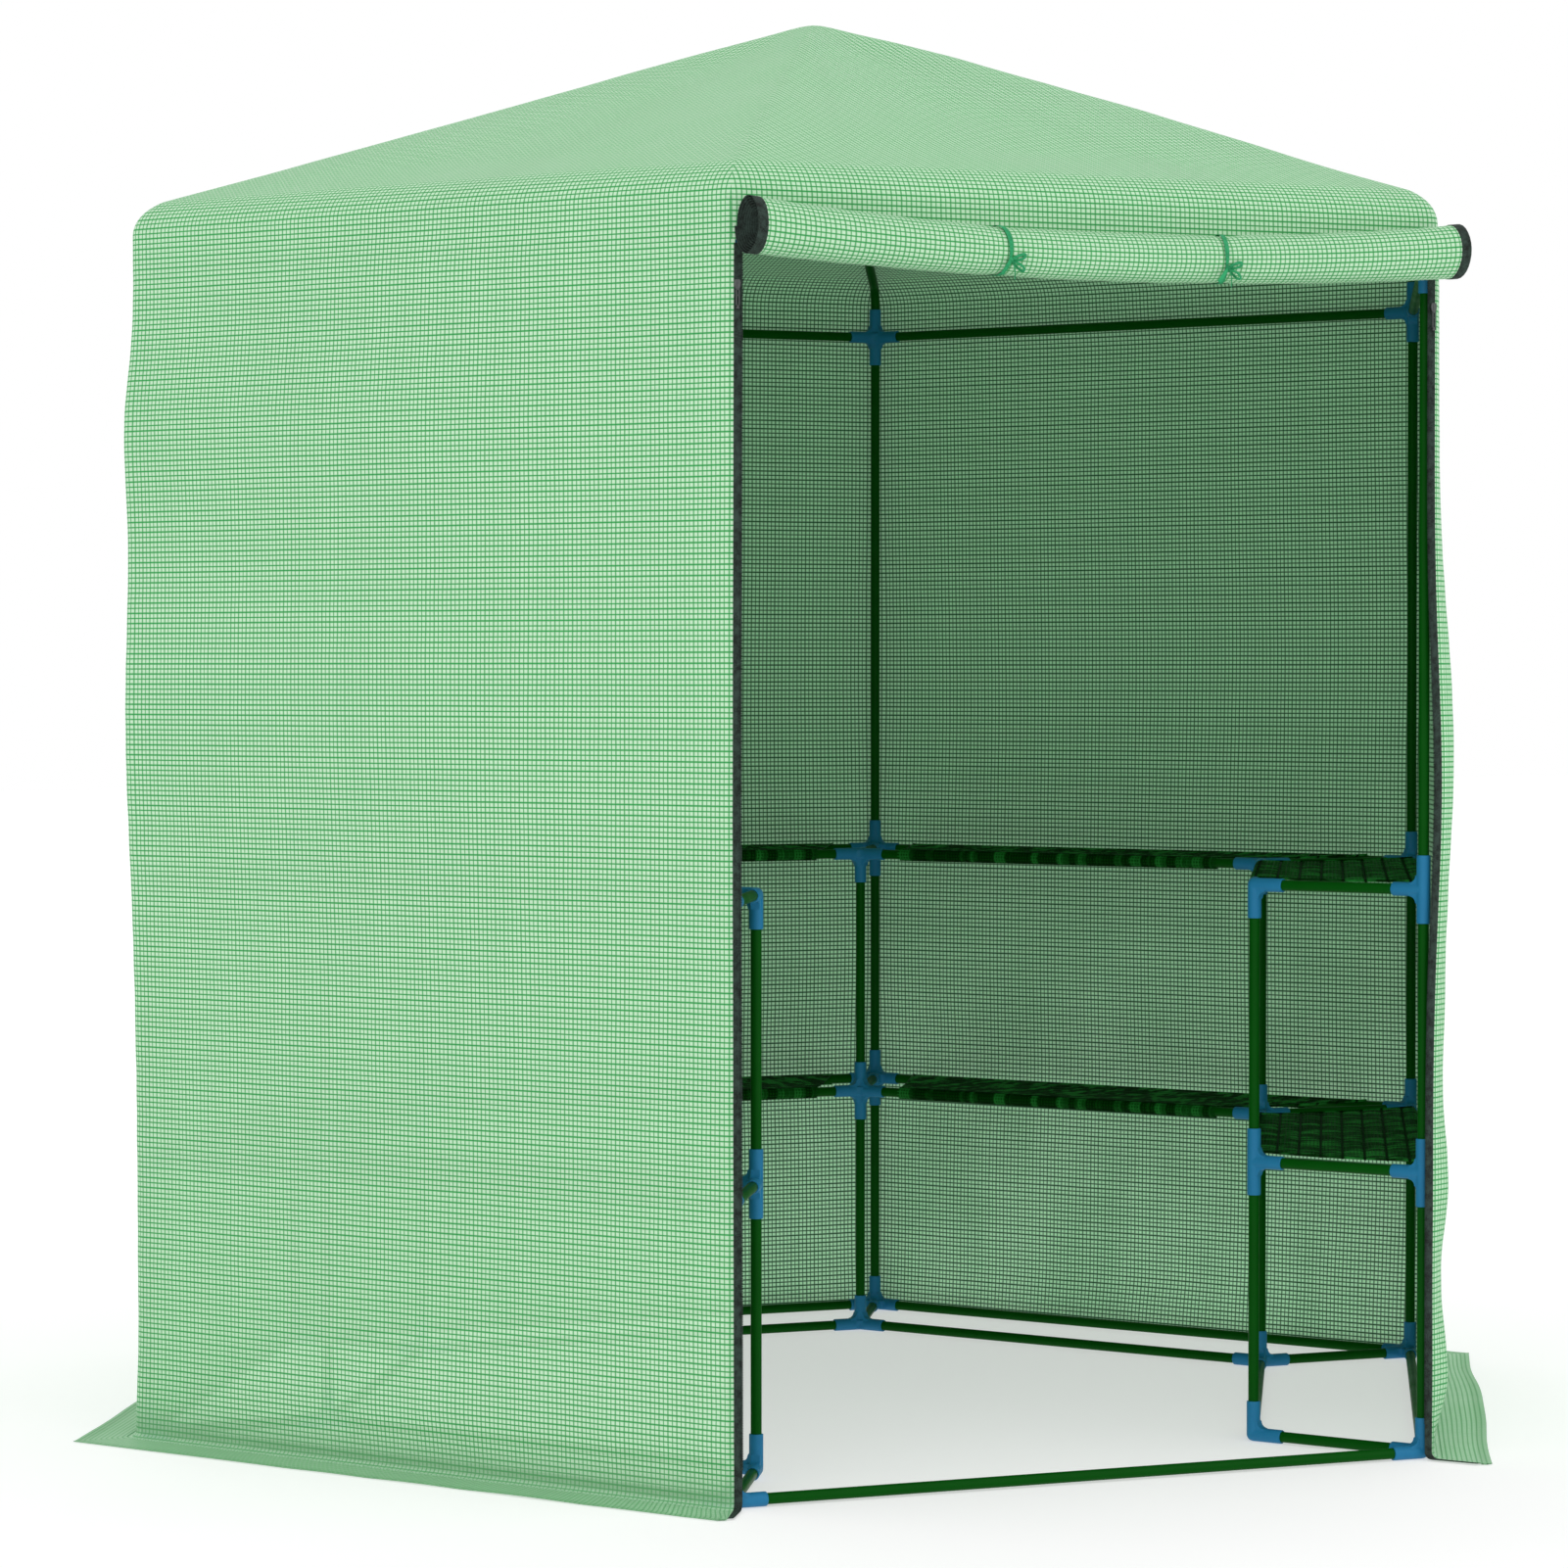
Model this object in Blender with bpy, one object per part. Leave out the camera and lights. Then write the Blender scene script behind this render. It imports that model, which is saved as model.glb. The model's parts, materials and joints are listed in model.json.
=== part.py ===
"""Walk-in hexagonal greenhouse: a push-fit tube frame with two tiers of shelves,
a mesh cover of five walls and a roof, and a roll-up door in the sixth side.

Metres, +Z up. The door faces -Y and the origin is on the ground, at the middle
of the footprint. Every corner of the hexagon is called by its place: front_left,
front_right, right, back_right, back_left and left.
"""

import math

import bmesh
import bpy
from mathutils import Vector

# ---- driving dimensions -------------------------------------------------------

SIDE = 1.10                      # post to post along one wall, which is also the
#                                  distance from the centre to each post
INNER_RADIUS = 0.8135            # centre to each inner post
FOOT_Z = 0.0105                  # height of the tube axes at the ground
LOWER_SHELF_Z = 0.42
UPPER_SHELF_Z = 0.835
EAVE_Z = 1.755
APEX_AXIS_Z = 2.1675             # where the six rafter axes meet

TUBE_R = 0.0080
TUBE_BORE_R = 0.0072
SLEEVE_R = 0.0103
SOCKET_R = 0.0083
LEG = 0.050                      # centre of a connector to the mouth of a leg
LEG_START = 0.001                # centre of a connector to the root of a leg
SOCKET_FLOOR = 0.018             # centre of a connector to the floor of a socket
TUBE_END = 0.020                 # centre of a connector to the end of a tube
POST_SIDES = 8
FOOT_CLEAR = 0.0003              # ground to the foot of a post
CUT_PAST = 0.004                 # how far a bore runs out past its mouth

RAFTER_BEND_R = 0.045
RAFTER_BEND_STEPS = 5
HUB_R = 0.022
HUB_RISE = 0.0045                # top of the crown's core above the rafter axes
HUB_DROP = 0.030                 # and its underside below them
HUB_LEG = 0.075
HUB_SOCKET_FLOOR = 0.040
HUB_TUBE_END = 0.042
HUB_SIDES = 12

SHELF_PLATE = 0.003              # thickness of a shelf's mesh panel
SHELF_PLATE_LOW = 0.0075         # its underside above the rail axes
SHELF_CLEAR = 0.009              # mouth of a connector's leg to a panel's corner

SKIN = 0.002                     # thickness of the cover
WALL_GAP = 0.016                 # post plane to the inside of a wall
ROOF_GAP = 0.0125                # rafter axis to the inside of the roof
SKIRT_REACH = 0.105              # post plane to the edge of the ground skirt
WALL_TOP_Z = 1.800
HEADER_LOW_Z = 1.745
SEAM_GAP = 0.0003

TAPE_WIDTH = 0.014
TAPE_BACK = 0.0115               # post plane to the back of the zip tape
TAPE_THICKNESS = 0.003
TAPE_LOW_Z = 0.004
TAPE_TOP_Z = 1.740
TAPE_CLEAR = 0.0005              # its outer edge to the wall beside it

ROLL_END_R = 0.0405
ROLL_WAIST_R = 0.0355
ROLL_LENGTH = 1.122
ROLL_SHIFT = 0.007               # the roll sits a little towards the right
ROLL_REACH = 0.0594              # post plane to the axis of the roll
ROLL_AXIS_Z = 1.763              # at its ends
ROLL_SAG = 0.027
ROLL_STATIONS = 10
ROLL_SIDES = 16

TIE_X = 0.176
TIE_WIDTH = 0.007
TIE_THICKNESS = 0.0012
TIE_CLEAR = 0.0009               # roll to the inside of the ribbon
TIE_ARC_STEPS = 8
TIE_TAIL_Z = 1.700
TIE_BACK_Z = 1.735

SLIDER_TOP_Z = 1.690
SLIDER_THICKNESS = 0.0034
SLIDER_PROFILE = (               # half width, and depth below the slider's top
    (0.0030, 0.000), (0.0046, 0.006), (0.0030, 0.013),         # its body
    (0.0015, 0.014), (0.0015, 0.018),                          # its neck
    (0.0030, 0.020), (0.0030, 0.040),                          # its pull tab
)

APOTHEM = SIDE * math.cos(math.radians(30))

# ---- colours --------------------------------------------------------------------

TUBE_GREEN = (0.004, 0.060, 0.008)
CONNECTOR_BLUE = (0.018, 0.185, 0.420)
SHELF_GREEN = (0.006, 0.045, 0.010)
COVER_GREEN = (0.310, 0.620, 0.365)
TAPE_GREY = (0.038, 0.052, 0.045)
TIE_GREEN = (0.030, 0.350, 0.120)
SLIDER_GREY = (0.060, 0.065, 0.065)

# ---- the corners ----------------------------------------------------------------

CORNERS = {
    "right": 0, "back_right": 60, "back_left": 120,
    "left": 180, "front_left": 240, "front_right": 300,
}
CORNER_ORDER = list(CORNERS)
WALLS = {                        # each wall by the corner that it starts from
    "right_front": "front_right", "right_back": "right", "back": "back_right",
    "left_back": "back_left", "left_front": "left",
}


def next_corner(corner):
    """The corner 60 degrees further round."""
    place = CORNER_ORDER.index(corner)
    return CORNER_ORDER[(place + 1) % len(CORNER_ORDER)]


def corner_point(corner, radius, z=0.0):
    angle = math.radians(CORNERS[corner])
    return Vector((radius * math.cos(angle), radius * math.sin(angle), z))


def reach_radius(reach):
    """Corner radius of the hexagon that lies `reach` outside the post plane."""
    return (APOTHEM + reach) / math.cos(math.radians(30))


# ---- scene helpers --------------------------------------------------------------

def clear_scene():
    for thing in list(bpy.data.objects):
        bpy.data.objects.remove(thing, do_unlink=True)


def make_material(name, colour, roughness, metallic=0.0):
    material = bpy.data.materials.new(name)
    material.use_nodes = True
    shader = material.node_tree.nodes["Principled BSDF"]
    shader.inputs["Base Color"].default_value = (*colour, 1.0)
    shader.inputs["Roughness"].default_value = roughness
    shader.inputs["Metallic"].default_value = metallic
    return material


def add_object(name, mesh, material, parent, turn=0.0):
    piece = bpy.data.objects.new(name, mesh)
    bpy.context.scene.collection.objects.link(piece)
    piece.rotation_euler[2] = turn
    piece.parent = parent
    if not mesh.materials:
        mesh.materials.append(material)
    return piece


def finish_mesh(name, bm):
    bmesh.ops.recalc_face_normals(bm, faces=bm.faces)
    mesh = bpy.data.meshes.new(name)
    bm.to_mesh(mesh)
    bm.free()
    mesh.shade_smooth()
    mesh.set_sharp_from_angle(angle=math.radians(50))
    return mesh


# ---- shapes ---------------------------------------------------------------------

def sweep_rings(bm, stations, sides, side_axis):
    """Rings of vertices round a path in one plane. A station is a point, the
    path's direction there and the radius; side_axis is the plane's normal."""
    rings = []
    for point, direction, radius in stations:
        across = side_axis.cross(direction).normalized()
        ring = []
        for step in range(sides):
            angle = 2 * math.pi * step / sides
            spoke = across * math.cos(angle) + side_axis * math.sin(angle)
            ring.append(bm.verts.new(point + spoke * radius))
        rings.append(ring)
    return rings


def bridge(bm, ring_a, ring_b):
    count = len(ring_a)
    for step in range(count):
        after = (step + 1) % count
        bm.faces.new((ring_a[step], ring_a[after], ring_b[after], ring_b[step]))


def rod(bm, stations, sides, side_axis):
    """A solid bar along a path."""
    rings = sweep_rings(bm, stations, sides, side_axis)
    for ring_a, ring_b in zip(rings, rings[1:]):
        bridge(bm, ring_a, ring_b)
    bm.faces.new(rings[0])
    bm.faces.new(rings[-1])


def pipe(bm, path, outer, inner, sides, side_axis):
    """A hollow tube along a path of (point, direction), open at both ends."""
    outside = sweep_rings(bm, [(p, d, outer) for p, d in path], sides, side_axis)
    inside = sweep_rings(bm, [(p, d, inner) for p, d in path], sides, side_axis)
    for rings in (outside, inside):
        for ring_a, ring_b in zip(rings, rings[1:]):
            bridge(bm, ring_a, ring_b)
    bridge(bm, outside[0], inside[0])
    bridge(bm, outside[-1], inside[-1])


def rod_mesh(name, start, end, radius, sides=POST_SIDES):
    """A straight solid bar; one of its edges faces up, or +X if it is upright."""
    direction = (end - start).normalized()
    upright = abs(direction.z) > 0.99
    flat = Vector((0, 1, 0)) if upright else Vector((0, 0, 1)).cross(direction)
    bm = bmesh.new()
    stations = [(start, direction, radius), (end, direction, radius)]
    rod(bm, stations, sides, flat.normalized())
    return finish_mesh(name, bm)


def extruded_mesh(name, outline, low, high):
    """An outline of (x, z) points, extruded from y = low to y = high."""
    bm = bmesh.new()
    front = [bm.verts.new((x, low, z)) for x, z in outline]
    back = [bm.verts.new((x, high, z)) for x, z in outline]
    bridge(bm, front, back)
    bm.faces.new(front)
    bm.faces.new(back)
    return finish_mesh(name, bm)


def boolean_mesh(name, solids, cutters):
    """Joins the solids into one body and cuts the cutters out of it."""
    groups = []
    for label, meshes in (("_solids", solids[1:]), ("_cutters", cutters)):
        group = bpy.data.collections.new(name + label)
        bpy.context.scene.collection.children.link(group)
        for mesh in meshes:
            group.objects.link(bpy.data.objects.new(mesh.name, mesh))
        groups.append(group)
    body = bpy.data.objects.new(name, solids[0])
    bpy.context.scene.collection.objects.link(body)
    for group, operation in zip(groups, ("UNION", "DIFFERENCE")):
        modifier = body.modifiers.new(operation.title(), "BOOLEAN")
        modifier.operand_type = "COLLECTION"
        modifier.collection = group
        modifier.operation = operation
        modifier.solver = "EXACT"
    bpy.context.view_layer.update()
    result = body.evaluated_get(bpy.context.evaluated_depsgraph_get())
    mesh = bpy.data.meshes.new_from_object(result)
    mesh.name = name
    bpy.data.objects.remove(body, do_unlink=True)
    for group in groups:
        for thing in list(group.objects):
            bpy.data.objects.remove(thing, do_unlink=True)
        bpy.data.collections.remove(group)
    return mesh


# ---- uprights with their connectors -----------------------------------------------

def level_direction(degrees):
    angle = math.radians(degrees)
    return Vector((math.cos(angle), math.sin(angle), 0.0))


TO_NEXT, TO_PREVIOUS, INWARD, OUTWARD = 120, -120, 180, 0


def socket(solids, cutters, centre, direction, leg=LEG, floor=SOCKET_FLOOR):
    """One leg of a connector and the blind socket in its end."""
    leg_start = centre + direction * LEG_START
    solids.append(rod_mesh("leg", leg_start, centre + direction * leg, SLEEVE_R))
    bore_end = centre + direction * (leg + CUT_PAST)
    cutters.append(rod_mesh("bore", centre + direction * floor, bore_end, SOCKET_R))


def sleeve(solids, low, high):
    solids.append(rod_mesh("sleeve", Vector((0, 0, low)), Vector((0, 0, high)), SLEEVE_R))


def side_directions(has_next, has_previous):
    chosen = []
    if has_next:
        chosen.append(TO_NEXT)
    if has_previous:
        chosen.append(TO_PREVIOUS)
    return chosen


def outer_upright_mesh(name, has_next, has_previous):
    """An outer post from the ground to the eave. +X points out of the house."""
    solids = [rod_mesh("post", Vector((0, 0, FOOT_CLEAR)), Vector((0, 0, EAVE_Z)), TUBE_R)]
    cutters = []
    sleeve(solids, 0.0, FOOT_Z + LEG)
    sleeve(solids, LOWER_SHELF_Z - LEG, LOWER_SHELF_Z + LEG)
    sleeve(solids, UPPER_SHELF_Z - LEG, UPPER_SHELF_Z + LEG)
    sleeve(solids, EAVE_Z - LEG, EAVE_Z + LEG)
    shelf_sides = side_directions(has_next, has_previous)
    levels = {
        FOOT_Z: [TO_NEXT, TO_PREVIOUS, INWARD],
        LOWER_SHELF_Z: shelf_sides + [INWARD],
        UPPER_SHELF_Z: shelf_sides + [INWARD],
        EAVE_Z: [TO_NEXT, TO_PREVIOUS],
    }
    for z, directions in levels.items():
        for degrees in directions:
            socket(solids, cutters, Vector((0, 0, z)), level_direction(degrees))
    bore_low = Vector((0, 0, -CUT_PAST))
    bore_high = Vector((0, 0, EAVE_Z + TUBE_END))
    cutters.append(rod_mesh("bore", bore_low, bore_high, TUBE_BORE_R))
    top_low = Vector((0, 0, EAVE_Z + SOCKET_FLOOR))
    top_high = Vector((0, 0, EAVE_Z + LEG + CUT_PAST))
    cutters.append(rod_mesh("top_bore", top_low, top_high, SOCKET_R))
    return boolean_mesh(name, solids, cutters)


def inner_upright_mesh(name, has_next, has_previous):
    """An inner post, with the three short ties that reach the outer post."""
    top = Vector((0, 0, UPPER_SHELF_Z))
    solids = [rod_mesh("post", Vector((0, 0, FOOT_CLEAR)), top, TUBE_R)]
    cutters = []
    sleeve(solids, 0.0, FOOT_Z + LEG)
    sleeve(solids, LOWER_SHELF_Z - LEG, LOWER_SHELF_Z + LEG)
    sleeve(solids, UPPER_SHELF_Z - LEG, UPPER_SHELF_Z + SLEEVE_R)
    tie_length = SIDE - INNER_RADIUS - TUBE_END
    outward = level_direction(OUTWARD)
    for z in (FOOT_Z, LOWER_SHELF_Z, UPPER_SHELF_Z):
        centre = Vector((0, 0, z))
        root = centre + outward * LEG_START
        solids.append(rod_mesh("leg", root, centre + outward * LEG, SLEEVE_R))
        tie_root = centre + outward * (TUBE_BORE_R + LEG_START)
        solids.append(rod_mesh("tie", tie_root, centre + outward * tie_length, TUBE_R))
        for degrees in side_directions(has_next, has_previous):
            socket(solids, cutters, centre, level_direction(degrees))
    bore_low = Vector((0, 0, -CUT_PAST))
    cutters.append(rod_mesh("bore", bore_low, top, TUBE_BORE_R))
    return boolean_mesh(name, solids, cutters)


def build_uprights(material, root):
    """The front posts carry no shelf rail on the door's side."""
    sides = {"front_left": (False, True), "front_right": (True, False)}
    outer, inner = {}, {}
    for corner, degrees in CORNERS.items():
        kind = sides.get(corner, (True, True))
        if kind not in outer:
            outer[kind] = outer_upright_mesh("outer_upright", *kind)
            inner[kind] = inner_upright_mesh("inner_upright", *kind)
        turn = math.radians(degrees)
        post = add_object(f"outer_upright_{corner}", outer[kind], material, root, turn)
        post.location = corner_point(corner, SIDE)
        post = add_object(f"inner_upright_{corner}", inner[kind], material, root, turn)
        post.location = corner_point(corner, INNER_RADIUS)


# ---- rails, shelves and rafters ---------------------------------------------------

def rail_ends(corner, radius, z):
    """The two ends of the rail from a corner to the next one."""
    start = corner_point(corner, radius, z)
    end = corner_point(next_corner(corner), radius, z)
    direction = (end - start).normalized()
    return start + direction * TUBE_END, end - direction * TUBE_END, direction


def rail(bm, corner, radius, z):
    start, end, direction = rail_ends(corner, radius, z)
    side_axis = Vector((0, 0, 1)).cross(direction)
    pipe(bm, [(start, direction), (end, direction)], TUBE_R, TUBE_BORE_R,
         POST_SIDES, side_axis)


def rail_mesh(name, corner, radius, z):
    bm = bmesh.new()
    rail(bm, corner, radius, z)
    return finish_mesh(name, bm)


def build_rails(material, root):
    for wall, corner in {**WALLS, "door": "front_left"}.items():
        name = "threshold_rail" if wall == "door" else f"ground_rail_{wall}"
        add_object(name, rail_mesh(name, corner, SIDE, FOOT_Z), material, root)
        name = f"eave_rail_{wall}"
        add_object(name, rail_mesh(name, corner, SIDE, EAVE_Z), material, root)
    for wall, corner in WALLS.items():
        name = f"inner_ground_rail_{wall}"
        add_object(name, rail_mesh(name, corner, INNER_RADIUS, FOOT_Z), material, root)


def shelf_plate_mesh(corner, z):
    """The mesh panel, which reaches from rail to rail between the connectors."""
    low, high = z + SHELF_PLATE_LOW, z + SHELF_PLATE_LOW + SHELF_PLATE
    outline = []
    for radius in (SIDE, INNER_RADIUS):
        start = corner_point(corner, radius)
        end = corner_point(next_corner(corner), radius)
        direction = (end - start).normalized()
        inset = direction * (LEG + SHELF_CLEAR)
        pair = [start + inset, end - inset]
        outline += pair if radius == SIDE else pair[::-1]
    bm = bmesh.new()
    floor = [bm.verts.new((p.x, p.y, low)) for p in outline]
    top = [bm.verts.new((p.x, p.y, high)) for p in outline]
    bridge(bm, floor, top)
    bm.faces.new(floor)
    bm.faces.new(top)
    return finish_mesh("plate", bm)


def build_shelves(material, root):
    for tier, z in (("lower", LOWER_SHELF_Z), ("upper", UPPER_SHELF_Z)):
        for wall, corner in WALLS.items():
            name = f"{tier}_shelf_{wall}"
            solids = [shelf_plate_mesh(corner, z)]
            solids.append(rail_mesh("rail", corner, SIDE, z))
            solids.append(rail_mesh("rail", corner, INNER_RADIUS, z))
            add_object(name, boolean_mesh(name, solids, []), material, root)


def rafter_slope():
    """Angle of a rafter above level, once it has turned out of its post.

    The bend ends where its tangent points at the apex, so the angle is found by
    repeating that condition until it stands still."""
    slope = math.radians(17)
    for _ in range(30):
        bend_r = SIDE - RAFTER_BEND_R * (1 - math.sin(slope))
        bend_z = EAVE_Z + LEG + RAFTER_BEND_R * math.cos(slope)
        slope = math.atan2(APEX_AXIS_Z - bend_z, bend_r)
    return slope


def rafter_arc(offset_at):
    """Points (radius, z) round the bend, pushed outward by offset_at(share)."""
    slope = rafter_slope()
    points = []
    for step in range(RAFTER_BEND_STEPS + 1):
        share = step / RAFTER_BEND_STEPS
        angle = share * (math.pi / 2 - slope)
        reach = RAFTER_BEND_R + offset_at(share)
        radius = SIDE - RAFTER_BEND_R + reach * math.cos(angle)
        points.append((radius, EAVE_Z + LEG + reach * math.sin(angle), angle))
    return points


def rafter_mesh():
    """Lies in the XZ plane, with its post at x = SIDE."""
    slope = rafter_slope()
    up = Vector((0, 0, 1))
    path = [(Vector((SIDE, 0, EAVE_Z + TUBE_END)), up)]
    for radius, z, angle in rafter_arc(lambda share: 0.0):
        heading = Vector((-math.sin(angle), 0, math.cos(angle)))
        path.append((Vector((radius, 0, z)), heading))
    heading = Vector((-math.cos(slope), 0, math.sin(slope)))
    apex = Vector((0, 0, APEX_AXIS_Z))
    path.append((apex - heading * HUB_TUBE_END, heading))
    bm = bmesh.new()
    pipe(bm, path, TUBE_R, TUBE_BORE_R, POST_SIDES, Vector((0, 1, 0)))
    return finish_mesh("rafter", bm)


def build_rafters(material, root):
    mesh = rafter_mesh()
    for corner, degrees in CORNERS.items():
        turn = math.radians(degrees)
        add_object(f"rafter_{corner}", mesh, material, root, turn)


def build_crown(material, root):
    """The six-way connector at the top, with a socket along each rafter."""
    slope = rafter_slope()
    apex = Vector((0, 0, APEX_AXIS_Z))
    low = apex - Vector((0, 0, HUB_DROP))
    high = apex + Vector((0, 0, HUB_RISE))
    solids = [rod_mesh("core", low, high, HUB_R, HUB_SIDES)]
    cutters = []
    for degrees in CORNERS.values():
        direction = level_direction(degrees) * math.cos(slope)
        direction.z = -math.sin(slope)
        socket(solids, cutters, apex, direction, HUB_LEG, HUB_SOCKET_FLOOR)
    add_object("crown_connector", boolean_mesh("crown", solids, cutters), material, root)


# ---- cover ------------------------------------------------------------------------

def mitred_strip_mesh(name, corner, section):
    """A section of (reach, z) points, run along one side and mitred at both ends,
    where half a seam's gap is left, measured square to the mitre."""
    after = next_corner(corner)
    along = (corner_point(after, 1.0) - corner_point(corner, 1.0)).normalized()
    trim = along * SEAM_GAP / (2 * math.cos(math.radians(30)))
    bm = bmesh.new()
    first, last = [], []
    for reach, z in section:
        radius = reach_radius(reach)
        first.append(bm.verts.new(corner_point(corner, radius, z) + trim))
        last.append(bm.verts.new(corner_point(after, radius, z) - trim))
    bridge(bm, first, last)
    bm.faces.new(first)
    bm.faces.new(last)
    return finish_mesh(name, bm)


def build_walls(material, root):
    top = WALL_TOP_Z - SEAM_GAP
    outside = WALL_GAP + SKIN
    section = [
        (WALL_GAP, 0.0), (SKIRT_REACH, 0.0), (SKIRT_REACH, SKIN),
        (outside, SKIN), (outside, top), (WALL_GAP, top),
    ]
    for wall, corner in WALLS.items():
        name = f"cover_wall_{wall}"
        add_object(name, mitred_strip_mesh(name, corner, section), material, root)
    section = [
        (WALL_GAP, HEADER_LOW_Z), (outside, HEADER_LOW_Z), (outside, top), (WALL_GAP, top),
    ]
    mesh = mitred_strip_mesh("door_header", "front_left", section)
    add_object("door_header", mesh, material, root)


def roof_profile(wall_reach, roof_offset):
    """Corner radius and height, from the top of the walls to the bend's end."""
    corner_offset = reach_radius(wall_reach) - SIDE
    spread = roof_offset - corner_offset
    arc = rafter_arc(lambda share: corner_offset + spread * share)
    return [(reach_radius(wall_reach), WALL_TOP_Z)] + [(r, z) for r, z, _ in arc]


def build_roof(material, root):
    slope = rafter_slope()
    bm = bmesh.new()
    surfaces = []
    for wall_reach, offset in ((WALL_GAP + SKIN, ROOF_GAP + SKIN), (WALL_GAP, ROOF_GAP)):
        rings = []
        for radius, z in roof_profile(wall_reach, offset):
            rings.append([bm.verts.new(corner_point(c, radius, z)) for c in CORNER_ORDER])
        apex_z = APEX_AXIS_Z + offset / math.cos(slope)
        peak = bm.verts.new((0, 0, apex_z))
        for ring_a, ring_b in zip(rings, rings[1:]):
            bridge(bm, ring_a, ring_b)
        last = rings[-1]
        for step, vertex in enumerate(last):
            bm.faces.new((vertex, last[(step + 1) % len(last)], peak))
        surfaces.append(rings)
    bridge(bm, surfaces[0][0], surfaces[1][0])
    add_object("cover_roof", finish_mesh("cover_roof", bm), material, root)


# ---- door -------------------------------------------------------------------------

def roll_sag(share):
    """How far the roll's axis hangs, from 0 at its ends to 1 in the middle."""
    return 1 - (2 * share - 1) ** 2


def roll_at(x):
    """Height of the roll's axis and its radius at a place along the door."""
    share = (x - ROLL_SHIFT) / ROLL_LENGTH + 0.5
    dip = roll_sag(share)
    radius = ROLL_END_R + (ROLL_WAIST_R - ROLL_END_R) * dip
    return ROLL_AXIS_Z - ROLL_SAG * dip, radius


def build_door_roll(material, parent):
    bm = bmesh.new()
    stations = []
    y = -(APOTHEM + ROLL_REACH)
    for step in range(ROLL_STATIONS + 1):
        x = ROLL_SHIFT + ROLL_LENGTH * (step / ROLL_STATIONS - 0.5)
        z, radius = roll_at(x)
        stations.append((Vector((x, y, z)), Vector((1, 0, 0)), radius))
    rod(bm, stations, ROLL_SIDES, Vector((0, 1, 0)))
    add_object("door_roll", finish_mesh("door_roll", bm), material, parent)


def tie_mesh(name, x):
    """A ribbon over the roll, open below so that the door can drop out of it."""
    axis_z, roll_radius = roll_at(x)
    y = -(APOTHEM + ROLL_REACH)
    inner = roll_radius + TIE_CLEAR
    bm = bmesh.new()
    sections = []
    for radius in (inner, inner + TIE_THICKNESS):
        line = [(y + radius, TIE_BACK_Z)]
        for step in range(TIE_ARC_STEPS + 1):
            angle = math.pi * step / TIE_ARC_STEPS
            line.append((y + radius * math.cos(angle), axis_z + radius * math.sin(angle)))
        line.append((y - radius, TIE_TAIL_Z))
        sections.append(line)
    outline = sections[0] + sections[1][::-1]
    left = [bm.verts.new((x - TIE_WIDTH / 2, py, pz)) for py, pz in outline]
    right = [bm.verts.new((x + TIE_WIDTH / 2, py, pz)) for py, pz in outline]
    bridge(bm, left, right)
    half = len(sections[0])
    for side in (left, right):
        strip = list(zip(side[:half], side[half:][::-1]))
        for (a, b), (c, d) in zip(strip, strip[1:]):
            bm.faces.new((a, b, d, c))
    return finish_mesh(name, bm)


def build_ties(material, root):
    for side, x in (("left", -TIE_X), ("right", TIE_X)):
        name = f"door_tie_{side}"
        add_object(name, tie_mesh(name, x), material, root)


def slider_mesh(name):
    """The slider's outline is the same on both sides; its top is at the origin."""
    left = [(-half_width, -depth) for half_width, depth in SLIDER_PROFILE]
    right = [(half_width, -depth) for half_width, depth in reversed(SLIDER_PROFILE)]
    return extruded_mesh(name, left + right, -SLIDER_THICKNESS, 0.0)


def build_zips(tape_material, slider_material, root):
    """A zip tape down each edge of the doorway, with its slider at the top."""
    back = -(APOTHEM + TAPE_BACK)
    front = back - TAPE_THICKNESS
    edge = reach_radius(WALL_GAP) / 2 - TAPE_CLEAR
    middle = edge - TAPE_WIDTH / 2
    for side, sign in (("left", -1), ("right", 1)):
        outer, inner = sign * edge, sign * (edge - TAPE_WIDTH)
        outline = [(outer, TAPE_LOW_Z), (inner, TAPE_LOW_Z), (inner, TAPE_TOP_Z),
                   (outer, TAPE_TOP_Z)]
        name = f"zip_tape_{side}"
        add_object(name, extruded_mesh(name, outline, front, back), tape_material, root)
        name = f"zip_slider_{side}"
        slider = add_object(name, slider_mesh(name), slider_material, root)
        slider.location = (sign * middle, front - SEAM_GAP, SLIDER_TOP_Z)


def main():
    clear_scene()
    root = bpy.data.objects.new("greenhouse", None)
    bpy.context.scene.collection.objects.link(root)
    tube = make_material("tube", TUBE_GREEN, 0.42)
    connector = make_material("connector", CONNECTOR_BLUE, 0.45)
    shelf = make_material("shelf", SHELF_GREEN, 0.6)
    cover = make_material("cover", COVER_GREEN, 0.7)
    tape = make_material("zip_tape", TAPE_GREY, 0.8)
    tie = make_material("tie", TIE_GREEN, 0.7)
    slider = make_material("zip_slider", SLIDER_GREY, 0.4)
    build_uprights(tube, root)
    build_rails(tube, root)
    build_shelves(shelf, root)
    build_rafters(tube, root)
    build_crown(connector, root)
    build_walls(cover, root)
    build_roof(cover, root)
    build_door_roll(cover, root)
    build_ties(tie, root)
    build_zips(tape, slider, root)


main()
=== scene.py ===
"""Looks of the hexagonal walk-in greenhouse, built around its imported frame.

The steel frame is shown as separate tubes and moulded connectors, the shelves as
strands of plastic net, and the cover as sewn sheets of green scrim film. Metres,
+Z up; the door faces -Y.
"""

import itertools
import json
import math

import bmesh
import bpy
import numpy as np
from mathutils import Matrix, Vector, noise


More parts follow.
